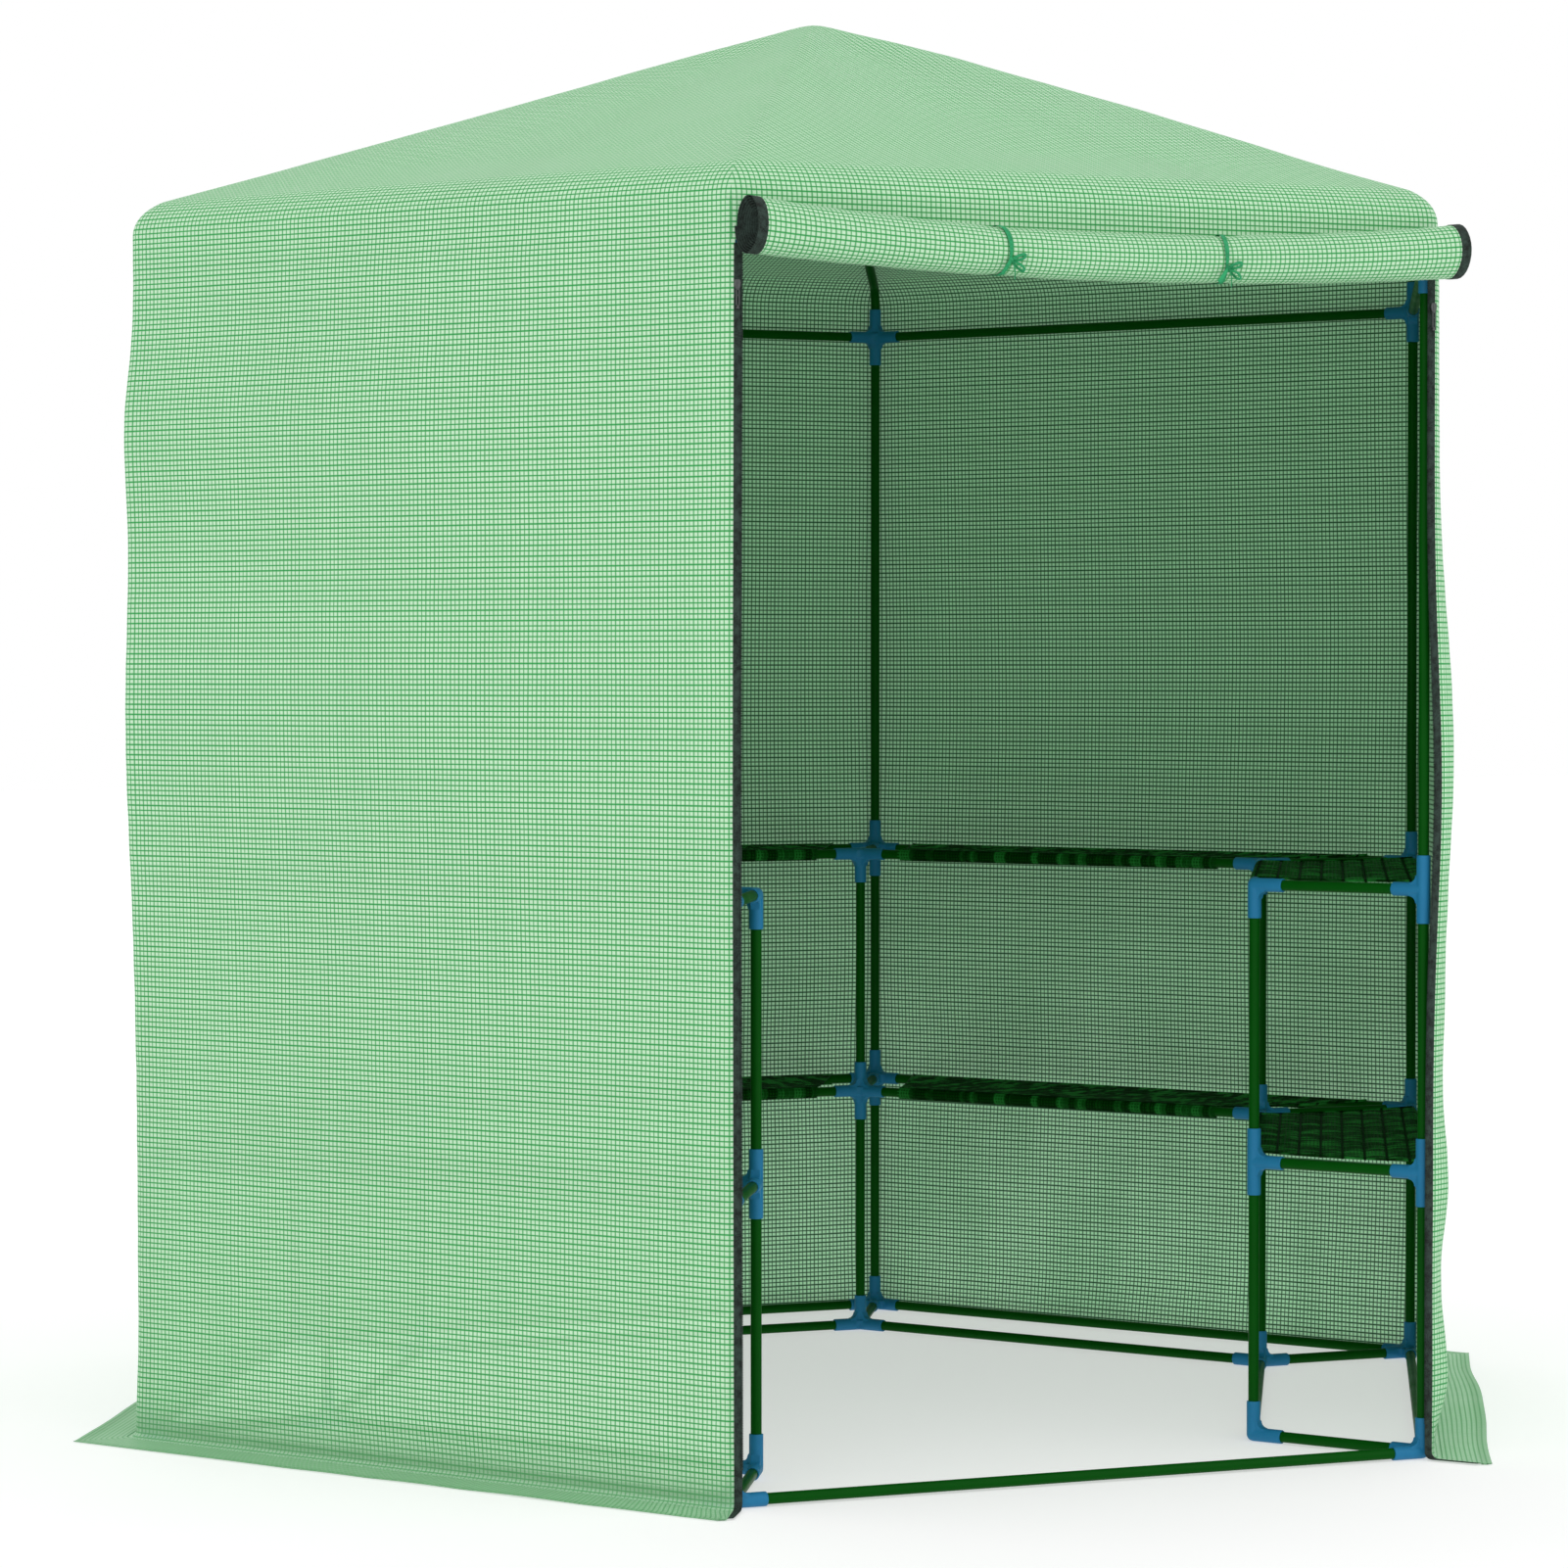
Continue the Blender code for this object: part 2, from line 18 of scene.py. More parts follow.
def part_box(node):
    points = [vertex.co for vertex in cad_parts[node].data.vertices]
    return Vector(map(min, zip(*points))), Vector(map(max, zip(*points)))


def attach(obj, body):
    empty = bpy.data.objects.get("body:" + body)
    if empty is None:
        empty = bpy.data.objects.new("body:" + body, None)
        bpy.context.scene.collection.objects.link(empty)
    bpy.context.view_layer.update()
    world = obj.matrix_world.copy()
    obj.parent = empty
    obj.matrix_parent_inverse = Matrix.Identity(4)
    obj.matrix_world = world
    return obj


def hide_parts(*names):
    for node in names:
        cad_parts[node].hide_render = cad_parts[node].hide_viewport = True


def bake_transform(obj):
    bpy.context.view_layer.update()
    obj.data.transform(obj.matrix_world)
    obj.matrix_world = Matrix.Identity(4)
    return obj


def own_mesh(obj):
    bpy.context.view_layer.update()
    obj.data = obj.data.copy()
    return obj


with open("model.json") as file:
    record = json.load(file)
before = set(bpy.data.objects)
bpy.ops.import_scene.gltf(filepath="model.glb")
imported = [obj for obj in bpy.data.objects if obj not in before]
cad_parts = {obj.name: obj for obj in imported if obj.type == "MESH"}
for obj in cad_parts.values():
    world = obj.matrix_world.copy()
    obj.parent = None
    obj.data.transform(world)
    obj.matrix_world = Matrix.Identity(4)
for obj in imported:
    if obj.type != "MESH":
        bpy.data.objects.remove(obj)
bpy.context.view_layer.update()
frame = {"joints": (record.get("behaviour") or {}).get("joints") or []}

COS30 = math.cos(math.radians(30))
TAN30 = math.tan(math.radians(30))

# ---- dimensions read from the frame ---------------------------------------------


def middle(node):
    low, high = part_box(node)
    return (low + high) / 2


RAIL_LOW, RAIL_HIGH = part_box("threshold_rail")
TUBE_R = (RAIL_HIGH.z - RAIL_LOW.z) / 2
APOTHEM = -middle("threshold_rail").y           # centre to the plane of the posts
SIDE = APOTHEM / COS30                          # centre to each outer post
INNER_RADIUS = middle("inner_ground_rail_back").y / COS30
FOOT_Z = middle("threshold_rail").z
EAVE_Z = middle("eave_rail_back").z
LOWER_SHELF_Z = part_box("lower_shelf_back")[0].z + TUBE_R
UPPER_SHELF_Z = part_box("upper_shelf_back")[0].z + TUBE_R
SHELF_TIERS = (("lower", LOWER_SHELF_Z), ("upper", UPPER_SHELF_Z))
SKIRT_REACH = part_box("cover_wall_back")[1].y - APOTHEM
WALL_REACH = -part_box("door_header")[0].y - APOTHEM
WALL_TOP_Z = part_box("door_header")[1].z
HEADER_LOW_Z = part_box("door_header")[0].z
ROOF_TOP_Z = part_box("cover_roof")[1].z
TAPE_TOP_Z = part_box("zip_tape_left")[1].z
ROLL_LOW, ROLL_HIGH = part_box("door_roll")
DOOR_TRAVEL = next(j["range_m"][1] for j in frame["joints"] if j["name"] == "door_unroll")

# ---- driving dimensions of what the frame leaves plain ---------------------------

TUBE_WALL = 0.0008
SLEEVE_R = 0.0103                # outside of a connector's leg
SOCKET_R = 0.0083
LEG = 0.050                      # centre of a connector to the mouth of a leg
SOCKET_FLOOR = 0.018
TUBE_END = 0.020                 # centre of a connector to the end of a tube
HUB_LEG = 0.075
HUB_SOCKET_FLOOR = 0.040
HUB_TUBE_END = 0.042
RAFTER_BEND_R = 0.045
ROOF_OFFSET = 0.0145             # rafter axis to the top of the solid roof

CORNERS = {                      # degrees round from +X
    "right": 0, "back_right": 60, "back_left": 120,
    "left": 180, "front_left": 240, "front_right": 300,
}
CORNER_ORDER = list(CORNERS)
WALLS = {                        # each wall by the corner that it starts from
    "right_front": "front_right", "right_back": "right", "back": "back_right",
    "left_back": "back_left", "left_front": "left",
}
DOOR_START = "front_left"
SCRIM_PITCH = 0.00755            # one thread of the film's grid to the next
NET_RIB = 0.033                  # pitch of a shelf net's heavy strands
NET_INNER = INNER_RADIUS * COS30


def next_corner(corner):
    place = CORNER_ORDER.index(corner)
    return CORNER_ORDER[(place + 1) % len(CORNER_ORDER)]


def corner_point(corner, radius, z=0.0):
    angle = math.radians(CORNERS[corner])
    return Vector((radius * math.cos(angle), radius * math.sin(angle), z))


def corner_turn(corner):
    return Matrix.Rotation(math.radians(CORNERS[corner]), 4, "Z")


def smoothstep(share):
    share = np.clip(share, 0.0, 1.0)
    return share * share * (3 - 2 * share)


# ---- material nodes ---------------------------------------------------------------


class Nodes:
    """Short names for adding linked nodes to one material."""

    def __init__(self, name):
        self.material = bpy.data.materials.new(name)
        self.material.use_nodes = True
        self.tree = self.material.node_tree
        self.shader = self.tree.nodes["Principled BSDF"]
        self.output = self.tree.nodes["Material Output"]

    def link(self, source, target):
        if isinstance(source, (int, float)):
            target.default_value = source
        elif isinstance(source, tuple):
            target.default_value = (*source, 1.0)
        else:
            self.tree.links.new(source, target)

    def add(self, kind, **settings):
        node = self.tree.nodes.new(kind)
        for key, value in settings.items():
            setattr(node, key, value)
        return node

    def math(self, operation, first, second=0.0, third=0.0):
        node = self.add("ShaderNodeMath", operation=operation)
        for value, target in zip((first, second, third), node.inputs):
            self.link(value, target)
        return node.outputs[0]

    def ramp(self, value, low, high, to_low=0.0, to_high=1.0):
        """A smooth step of value from low to high."""
        node = self.add("ShaderNodeMapRange", interpolation_type="SMOOTHSTEP")
        for target, number in zip(node.inputs, (value, low, high, to_low, to_high)):
            self.link(number, target)
        return node.outputs[0]

    def mix(self, share, first, second):
        node = self.add("ShaderNodeMix", data_type="RGBA")
        self.link(share, node.inputs["Factor"])
        self.link(first, node.inputs["A"])
        self.link(second, node.inputs["B"])
        return node.outputs["Result"]

    def noise(self, vector, scale, detail=3.0, rough=0.55):
        node = self.add("ShaderNodeTexNoise")
        self.link(vector, node.inputs["Vector"])
        node.inputs["Scale"].default_value = scale
        node.inputs["Detail"].default_value = detail
        node.inputs["Roughness"].default_value = rough
        return node.outputs["Fac"]

    def place(self):
        """The surface point in the object's own metres."""
        return self.add("ShaderNodeTexCoord").outputs["Object"]

    def axes(self, vector):
        """The sockets X, Y and Z of a vector."""
        node = self.add("ShaderNodeSeparateXYZ")
        self.link(vector, node.inputs[0])
        return node.outputs

    def scaled(self, vector, scale):
        node = self.add("ShaderNodeMapping")
        self.link(vector, node.inputs["Vector"])
        node.inputs["Scale"].default_value = scale
        return node.outputs["Vector"]

    def bump(self, height, distance, strength=1.0):
        node = self.add("ShaderNodeBump")
        self.link(height, node.inputs["Height"])
        node.inputs["Distance"].default_value = distance
        node.inputs["Strength"].default_value = strength
        self.link(node.outputs["Normal"], self.shader.inputs["Normal"])
        return node.outputs["Normal"]

    def colour(self, source):
        self.link(source, self.shader.inputs["Base Color"])

    def roughness(self, source):
        self.link(source, self.shader.inputs["Roughness"])

    def specular(self, level):
        self.shader.inputs["Specular IOR Level"].default_value = level

    def mix_shaders(self, share, first, second):
        node = self.add("ShaderNodeMixShader")
        for source, target in zip((share, first, second), node.inputs):
            self.link(source, target)
        return node.outputs["Shader"]


def powder_coat(name):
    """Dark green powder coat: faint orange peel, dust and rubbed patches."""
    n = Nodes(name)
    place = n.place()
    patches = n.noise(place, 9.0)
    peel = n.noise(place, 900.0, 2.0)
    scuffs = n.ramp(n.noise(n.scaled(place, (1, 1, 0.25)), 160.0, 4.0), 0.66, 0.74)
    base = n.mix(patches, (0.0012, 0.060, 0.0026), (0.0020, 0.080, 0.0040))
    n.colour(n.mix(n.math("MULTIPLY", scuffs, 0.35), base, (0.006, 0.105, 0.014)))
    n.roughness(n.ramp(patches, 0.3, 0.7, 0.30, 0.40))
    n.specular(0.05)
    n.bump(peel, 0.00006)
    return n.material


def moulded_blue(name):
    """Satin blue plastic with a fine spark-eroded grain."""
    n = Nodes(name)
    place = n.place()
    clouds = n.noise(place, 35.0)
    grain = n.noise(place, 2600.0, 2.0)
    n.colour(n.mix(clouds, (0.012, 0.160, 0.320), (0.016, 0.190, 0.370)))
    n.roughness(n.ramp(grain, 0.3, 0.7, 0.42, 0.54))
    n.specular(0.18)
    n.bump(grain, 0.00004)
    return n.material


def net_green(name):
    """Extruded polyethylene net. The strands across it are paler in dashes, and every heavy
    strand along it (local Y) carries a dark stripe of painted shade, as if under the
    strands across."""
    n = Nodes(name)
    place = n.place()
    depth = n.axes(place)["Y"]
    across = n.math("MULTIPLY_ADD", depth, 1 / NET_RIB, -NET_INNER / NET_RIB)
    # Painted shade: this mask is 0 on each heavy strand along the net, where the colour
    # below paints a dark stripe, as if shaded under the strands across.
    away_from_rib_shade = n.ramp(n.math("PINGPONG", across, 0.5), 0.03, 0.11)
    dashes = n.noise(n.scaled(place, (38.0, 12.0, 1.0)), 1.0, 2.0, 0.6)
    drawn = n.noise(n.scaled(place, (1, 1, 0.3)), 1500.0, 2.0)
    pale_dashes = n.math("MULTIPLY", n.ramp(dashes, 0.47, 0.61), away_from_rib_shade)
    base = n.mix(away_from_rib_shade, (0.0006, 0.012, 0.0009), (0.0012, 0.027, 0.0018))
    n.colour(n.mix(pale_dashes, base, (0.0200, 0.200, 0.0320)))
    n.roughness(n.ramp(drawn, 0.3, 0.7, 0.42, 0.60))
    n.specular(0.02)
    n.bump(drawn, 0.00008)
    return n.material


def scrim_film(name, thread=(0.040, 0.395, 0.095), cell=(0.592, 0.835, 0.600)):
    """Green film over a woven grid, which shows more on its inside, where the threads are
    painted near-black as shade against the light through the cells. The UV map holds
    metres of cloth. The inside is a shaded copy, its cells darker than outside but painted
    lighter near the ground and in cloudy patches as light through the film. The outside is
    darker where it lies on the ground. The cells let a little of what is behind them show
    through, most of all near the ground and in those cloudy patches."""
    n = Nodes(name)
    uv = n.add("ShaderNodeUVMap", uv_map="weave").outputs["UV"]
    across = n.axes(uv)
    height = n.axes(n.place())["Z"]
    near_ground = n.ramp(height, 0.05, 1.00, 1.0, 0.0)
    on_ground = n.ramp(height, 0.004, 0.070, 1.0, 0.0)
    drift = n.noise(uv, 7.0, 2.0)
    threads = []
    for axis, strength in (("X", 0.86), ("Y", 1.0)):
        wander = n.math("MULTIPLY_ADD", drift, 0.10, 0.0)
        turns = n.math("MULTIPLY_ADD", across[axis], 1 / SCRIM_PITCH, wander)
        away = n.math("PINGPONG", turns, 0.5)
        second = n.math("PINGPONG", n.math("MULTIPLY", turns, 0.5), 0.5)
        width = n.ramp(second, 0.10, 0.30, 0.150, 0.115)
        threads.append(n.ramp(n.math("DIVIDE", away, width), 0.55, 1.75, strength, 0.0))
    grid = n.math("MAXIMUM", *threads)
    crossing = n.math("MULTIPLY", *threads)
    clouds = n.noise(n.scaled(uv, (5.0, 3.0, 1.0)), 1.0, 4.0)
    tape = n.noise(n.scaled(uv, (90.0, 900.0, 1.0)), 1.0, 2.0)
    pale = n.mix(clouds, cell, tuple(min(1.0, c * 1.10) for c in cell))
    pale = n.mix(n.math("MULTIPLY", tape, 0.22), pale, (0.62, 0.86, 0.62))
    dark = n.mix(crossing, thread, tuple(c * 0.62 for c in thread))
    outside = n.mix(grid, pale, dark)
    # The outside is darker where the film lies on the ground.
    outside = n.mix(n.math("MULTIPLY", on_ground, 0.55), outside, (0.205, 0.440, 0.235))
    # Painted light and shade: the inside's cells are darker than the outside's as shade,
    # and painted lighter near the ground and in cloudy patches as light from the floor
    # through the film.
    low_painted_light = n.math("MULTIPLY", near_ground, n.ramp(clouds, 0.34, 0.66, 0.65, 1.30))
    inside_cells_with_painted_light = n.mix(low_painted_light, (0.330, 0.765, 0.402), (0.475, 0.985, 0.560))
    # Painted shade: the inside's threads are near-black against the light through the
    # cells.
    inside = n.mix(grid, inside_cells_with_painted_light, (0.004, 0.080, 0.018))
    turned = n.add("ShaderNodeNewGeometry").outputs["Backfacing"]
    n.colour(n.mix(turned, outside, inside))
    n.roughness(n.ramp(clouds, 0.3, 0.7, 0.46, 0.60))
    n.specular(0.15)
    weave = n.math("MULTIPLY_ADD", grid, 1.0, n.math("MULTIPLY", tape, 0.25))
    normal = n.bump(weave, 0.00030)
    through = n.add("ShaderNodeBsdfTranslucent")
    n.link(n.mix(grid, (0.30, 0.66, 0.36), (0.030, 0.180, 0.060)), through.inputs["Color"])
    n.link(normal, through.inputs["Normal"])
    both = n.mix_shaders(0.08, n.shader.outputs["BSDF"], through.outputs["BSDF"])
    clear = n.add("ShaderNodeBsdfTransparent")
    clear.inputs["Color"].default_value = (0.80, 1.0, 0.82, 1.0)
    cells = n.math("MULTIPLY_ADD", grid, -0.90, 1.0)
    # The cells are clearer where the inside has painted light: near the ground and in
    # cloudy patches.
    clearness = n.math("MULTIPLY_ADD", low_painted_light, 0.065, 0.095)
    seen = n.mix_shaders(n.math("MULTIPLY", cells, clearness), both, clear.outputs["BSDF"])
    n.link(seen, n.output.inputs["Surface"])
    return n.material


def woven_tape(name, low, high, pitch=0.0011):
    """Narrow woven tape: ribs across it, slubs and a little fading."""
    n = Nodes(name)
    place = n.place()
    slubs = n.noise(place, 95.0, 4.0, 0.7)
    speckle = n.noise(place, 700.0, 2.0)
    ribs = n.math("PINGPONG", n.math("DIVIDE", n.axes(place)["Z"], pitch), 0.5)
    shade = n.math("MULTIPLY_ADD", speckle, 0.4, n.math("MULTIPLY", slubs, 0.6))
    n.colour(n.mix(n.ramp(shade, 0.36, 0.62), low, high))
    n.roughness(n.ramp(slubs, 0.3, 0.7, 0.70, 0.88))
    n.specular(0.25)
    n.bump(n.math("MULTIPLY_ADD", speckle, 0.5, ribs), 0.00025)
    return n.material


def cast_metal(name):
    """Dull grey die-cast metal, rubbed in places."""
    n = Nodes(name)
    place = n.place()
    rub = n.noise(place, 420.0, 4.0)
    n.colour(n.mix(rub, (0.050, 0.054, 0.054), (0.120, 0.125, 0.125)))
    n.shader.inputs["Metallic"].default_value = 0.6
    n.roughness(n.ramp(rub, 0.3, 0.7, 0.30, 0.48))
    n.bump(n.noise(place, 1800.0), 0.00003)
    return n.material


MATERIALS = {
    "tube": powder_coat("tube"),
    "connector": moulded_blue("connector"),
    "shelf": net_green("shelf"),
    "cover": scrim_film("cover"),
    "zip_tape": woven_tape("zip_tape", (0.002, 0.005, 0.003), (0.034, 0.057, 0.046)),
    "tie": woven_tape("tie", (0.012, 0.210, 0.078), (0.035, 0.370, 0.145)),
    "zip_slider": cast_metal("zip_slider"),
    "stitch": woven_tape("stitch", (0.33, 0.62, 0.38), (0.50, 0.80, 0.55)),
}


# ---- mesh building ----------------------------------------------------------------


def mesh_from(name, points, faces, weave=None, sharp=None):
    """A smooth-shaded mesh from point rows; weave gives cloth metres per point."""
    mesh = bpy.data.meshes.new(name)
    mesh.from_pydata(np.asarray(points, float).tolist(), [], [list(f) for f in faces])
    mesh.shade_smooth()
    if weave is not None:
        corners = np.empty(len(mesh.loops), int)
        mesh.loops.foreach_get("vertex_index", corners)
        layer = mesh.uv_layers.new(name="weave")
        layer.data.foreach_set("uv", np.asarray(weave, float)[corners].ravel())
    if sharp:
        mesh.set_sharp_from_angle(angle=math.radians(sharp))
    return mesh


def add_piece(name, mesh, slot, matrix=None):
    """An object in a material slot, which a mesh with its own material keeps."""
    piece = bpy.data.objects.new(name, mesh)
    bpy.context.scene.collection.objects.link(piece)
    if not mesh.materials:
        mesh.materials.append(MATERIALS[slot])
    if matrix is not None:
        piece.matrix_world = matrix
    return piece


def grid_faces(rows, columns, start=0, round_rows=False, round_columns=False):
    """Quads of a grid whose points are counted row by row."""
    faces = []
    for row in range(rows if round_rows else rows - 1):
        here, there = row * columns, ((row + 1) % rows) * columns
        for column in range(columns if round_columns else columns - 1):
            after = (column + 1) % columns
            quad = (here + column, here + after, there + after, there + column)
            faces.append(tuple(start + corner for corner in quad))
    return faces


class Shape:
    """Collects swept bars and strips into one mesh."""

    def __init__(self):
        self.points, self.faces = [], []

    def sweep(self, path, section, side=None, scales=None, caps=True):
        """Runs a section of (across, up) points along a path. `side` is the
        section's across direction; without it the frame is carried along."""
        path = [Vector(point) for point in path]
        start, count = len(self.points), len(section)
        carried = Vector(side) if side is not None else None
        for place, point in enumerate(path):
            before, after = path[max(place - 1, 0)], path[min(place + 1, len(path) - 1)]
            along = (after - before).normalized()
            if carried is None:
                carried = along.orthogonal().normalized()
            across = carried
            if side is None:
                across = (carried - along * carried.dot(along)).normalized()
                carried = across
            up = along.cross(across).normalized()
            scale = scales[place] if scales else 1.0
            for a, b in section:
                self.points.append(point + across * a * scale + up * b * scale)
        self.faces += grid_faces(len(path), count, start, round_columns=True)
        if caps:
            last = start + (len(path) - 1) * count
            self.faces.append(tuple(range(start, start + count))[::-1])
            self.faces.append(tuple(range(last, last + count)))

    def mesh(self, name, sharp=None):
        return mesh_from(name, self.points, self.faces, sharp=sharp)


def circle(radius, sides):
    turns = [2 * math.pi * step / sides for step in range(sides)]
    return [(radius * math.cos(turn), radius * math.sin(turn)) for turn in turns]


def oblong(width, height):
    w, h = width / 2, height / 2
    return [(-w, -h), (w, -h), (w, h), (-w, h)]


def evaluated_mesh(piece, name):
    """The piece's mesh with its modifiers applied; the piece is removed."""
    bpy.context.view_layer.update()
    result = piece.evaluated_get(bpy.context.evaluated_depsgraph_get())
    mesh = bpy.data.meshes.new_from_object(result)
    mesh.name = name
    bpy.data.objects.remove(piece, do_unlink=True)
    return mesh


# ---- tubes ------------------------------------------------------------------------


def tube_mesh(name, path, side):
    """A hollow tube with a small chamfer at each end, swept in one plane."""
    sides, chamfer = 24, 0.0006
    bore = TUBE_R - TUBE_WALL
    path = [Vector(point) for point in path]
    first = (path[1] - path[0]).normalized() * chamfer
    last = (path[-1] - path[-2]).normalized() * chamfer
    outside = [path[0], path[0] + first, *path[1:-1], path[-1] - last, path[-1]]
    radii = [TUBE_R - chamfer] + [TUBE_R] * (len(outside) - 2) + [TUBE_R - chamfer]
    shape = Shape()
    shape.sweep(outside, circle(1.0, sides), side, radii, caps=False)
    shape.sweep(path[::-1], circle(1.0, sides), -Vector(side), [bore] * len(path), False)
    faces = grid_faces(len(outside) + len(path), sides, round_rows=True, round_columns=True)
    return mesh_from(name, shape.points, faces, sharp=40)


def add_tube(name, start, end, *nodes):
    """A straight tube that stands for part of the CAD nodes named."""
    start, end = Vector(start), Vector(end)
    length = (end - start).length
    along = (end - start).normalized()
    upright = abs(along.z) > 0.99
    side = Vector((0, 1, 0)) if upright else Vector((0, 0, 1)).cross(along)
    key = f"tube_{round(length * 10000)}"
    mesh = bpy.data.meshes.get(key)
    if mesh is None:
        mesh = tube_mesh(key, [(0, 0, 0), (length, 0, 0)], (0, 1, 0))
    across = along.cross(side).normalized()
    turn = Matrix((along, side.normalized(), across)).transposed().to_4x4()
    piece = add_piece(name, mesh, "tube", Matrix.Translation(start) @ turn)
    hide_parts(*nodes)
    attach(piece, "greenhouse")
    return piece


def build_posts():
    levels = (("low", FOOT_Z, LOWER_SHELF_Z), ("middle", LOWER_SHELF_Z, UPPER_SHELF_Z),
              ("high", UPPER_SHELF_Z, EAVE_Z))
    for corner in CORNERS:
        for radius, ring, stretches in ((SIDE, "outer", levels),
                                        (INNER_RADIUS, "inner", levels[:2])):
            for label, low, high in stretches:
                add_tube(f"tube_{ring}_post_{corner}_{label}",
                         corner_point(corner, radius, low + TUBE_END),
                         corner_point(corner, radius, high - TUBE_END),
                         f"{ring}_upright_{corner}")
        for label, z in (("ground", FOOT_Z), *SHELF_TIERS):
            add_tube(f"tube_tie_{corner}_{label}",
                     corner_point(corner, INNER_RADIUS + TUBE_END, z),
                     corner_point(corner, SIDE - TUBE_END, z),
                     f"inner_upright_{corner}")


def add_rail(name, corner, radius, z, *nodes):
    start = corner_point(corner, radius, z)
    end = corner_point(next_corner(corner), radius, z)
    along = (end - start).normalized()
    add_tube(name, start + along * TUBE_END, end - along * TUBE_END, *nodes)


def build_rails():
    for wall, corner in {**WALLS, "door": DOOR_START}.items():
        ground = "threshold_rail" if wall == "door" else f"ground_rail_{wall}"
        add_rail(f"tube_ground_{wall}", corner, SIDE, FOOT_Z, ground)
        add_rail(f"tube_eave_{wall}", corner, SIDE, EAVE_Z, f"eave_rail_{wall}")
    for wall, corner in WALLS.items():
        add_rail(f"tube_inner_ground_{wall}", corner, INNER_RADIUS, FOOT_Z,
                 f"inner_ground_rail_{wall}")
        for tier, z in SHELF_TIERS:
            node = f"{tier}_shelf_{wall}"
            add_rail(f"tube_{tier}_outer_{wall}", corner, SIDE, z, node)
            add_rail(f"tube_{tier}_inner_{wall}", corner, INNER_RADIUS, z, node)


def rafter_line():
    """Apex height, slope and bend of the rafter axes. The bend ends where its
    tangent points at the apex, so the slope is repeated until it stands still."""
    slope = math.radians(17)     # a first guess
    for _ in range(30):
        apex = ROOF_TOP_Z - ROOF_OFFSET / math.cos(slope)
        bend_r = SIDE - RAFTER_BEND_R * (1 - math.sin(slope))
        bend_z = EAVE_Z + LEG + RAFTER_BEND_R * math.cos(slope)
        slope = math.atan2(apex - bend_z, bend_r)
    return apex, slope


APEX_Z, SLOPE = rafter_line()


def build_rafters():
    path = [(SIDE, 0, EAVE_Z + TUBE_END)]
    steps = 14
    for step in range(steps + 1):
        angle = (math.pi / 2 - SLOPE) * step / steps
        radius = SIDE - RAFTER_BEND_R * (1 - math.cos(angle))
        path.append((radius, 0, EAVE_Z + LEG + RAFTER_BEND_R * math.sin(angle)))
    hub = HUB_TUBE_END
    path.append((hub * math.cos(SLOPE), 0, APEX_Z - hub * math.sin(SLOPE)))
    mesh = tube_mesh("rafter", path, (0, 1, 0))
    for corner in CORNERS:
        piece = add_piece(f"tube_rafter_{corner}", mesh, "tube", corner_turn(corner))
        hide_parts(f"rafter_{corner}")
        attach(piece, "greenhouse")


# ---- moulded connectors -------------------------------------------------------------


def level(degrees):
    angle = math.radians(degrees)
    return Vector((math.cos(angle), math.sin(angle), 0.0))


GUSSET_HALF = 0.0074             # half the thickness of the web between two legs
GUSSET_WIDEST = 130              # degrees; legs further apart have no web
GUSSET_WIDE = 80                 # from here the web's fillet is the wide one
GUSSET_FILLETS = (0.010, 0.006)  # wide, narrow
VOXEL = 0.0010                   # of the remesh that fuses a connector
CROWN_HUB = (0.022, 0.0040, -0.030)     # radius, top and bottom of its boss

UP, DOWN = Vector((0, 0, 1)), Vector((0, 0, -1))
NEXT, PREVIOUS, INWARD, OUTWARD = level(120), level(-120), level(180), level(0)


def add_rod(bm, start, end, radius, sides=32):
    """A closed cylinder between two points, added to bm."""
    along = end - start
    turn = Vector((0, 0, 1)).rotation_difference(along).to_matrix().to_4x4()
    bmesh.ops.create_cone(bm, cap_ends=True, segments=sides, radius1=radius,
                          radius2=radius, depth=along.length,
                          matrix=Matrix.Translation((start + end) / 2) @ turn)


def add_gusset(bm, first, second):
    """The concave web in the angle between two legs."""
    half = first.angle(second) / 2
    if half > math.radians(GUSSET_WIDEST / 2):
        return
    fillet = GUSSET_FILLETS[0 if half > math.radians(GUSSET_WIDE / 2) else 1]
    middle_line = (first + second).normalized()
    across = first.cross(second).normalized()
    centre = middle_line * (SLEEVE_R + fillet) / math.sin(half)
    reach = (SLEEVE_R + fillet) / math.tan(half)
    outline = [Vector((0, 0, 0)), first * reach]
    steps = 8
    start = -(second - first * first.dot(second)).normalized()
    end = -(first - second * first.dot(second)).normalized()
    sweep = start.angle(end)
    for step in range(steps + 1):
        share = step / steps
        spoke = (start * math.sin((1 - share) * sweep) + end * math.sin(share * sweep))
        outline.append(centre + spoke / math.sin(sweep) * fillet)
    outline.append(second * reach)
    rings = []
    for sign in (-1, 1):
        rings.append([bm.verts.new(p + across * sign * GUSSET_HALF) for p in outline])
    count = len(outline)
    for place in range(count):
        after = (place + 1) % count
        bm.faces.new((rings[0][place], rings[0][after], rings[1][after], rings[1][place]))
    bm.faces.new(rings[0][::-1])
    bm.faces.new(rings[1])


def object_from(bm, name):
    """Moves bm into an object of its own."""
    mesh = bpy.data.meshes.new(name)
    bm.to_mesh(mesh)
    bm.free()
    made = bpy.data.objects.new(name, mesh)
    bpy.context.scene.collection.objects.link(made)
    return made


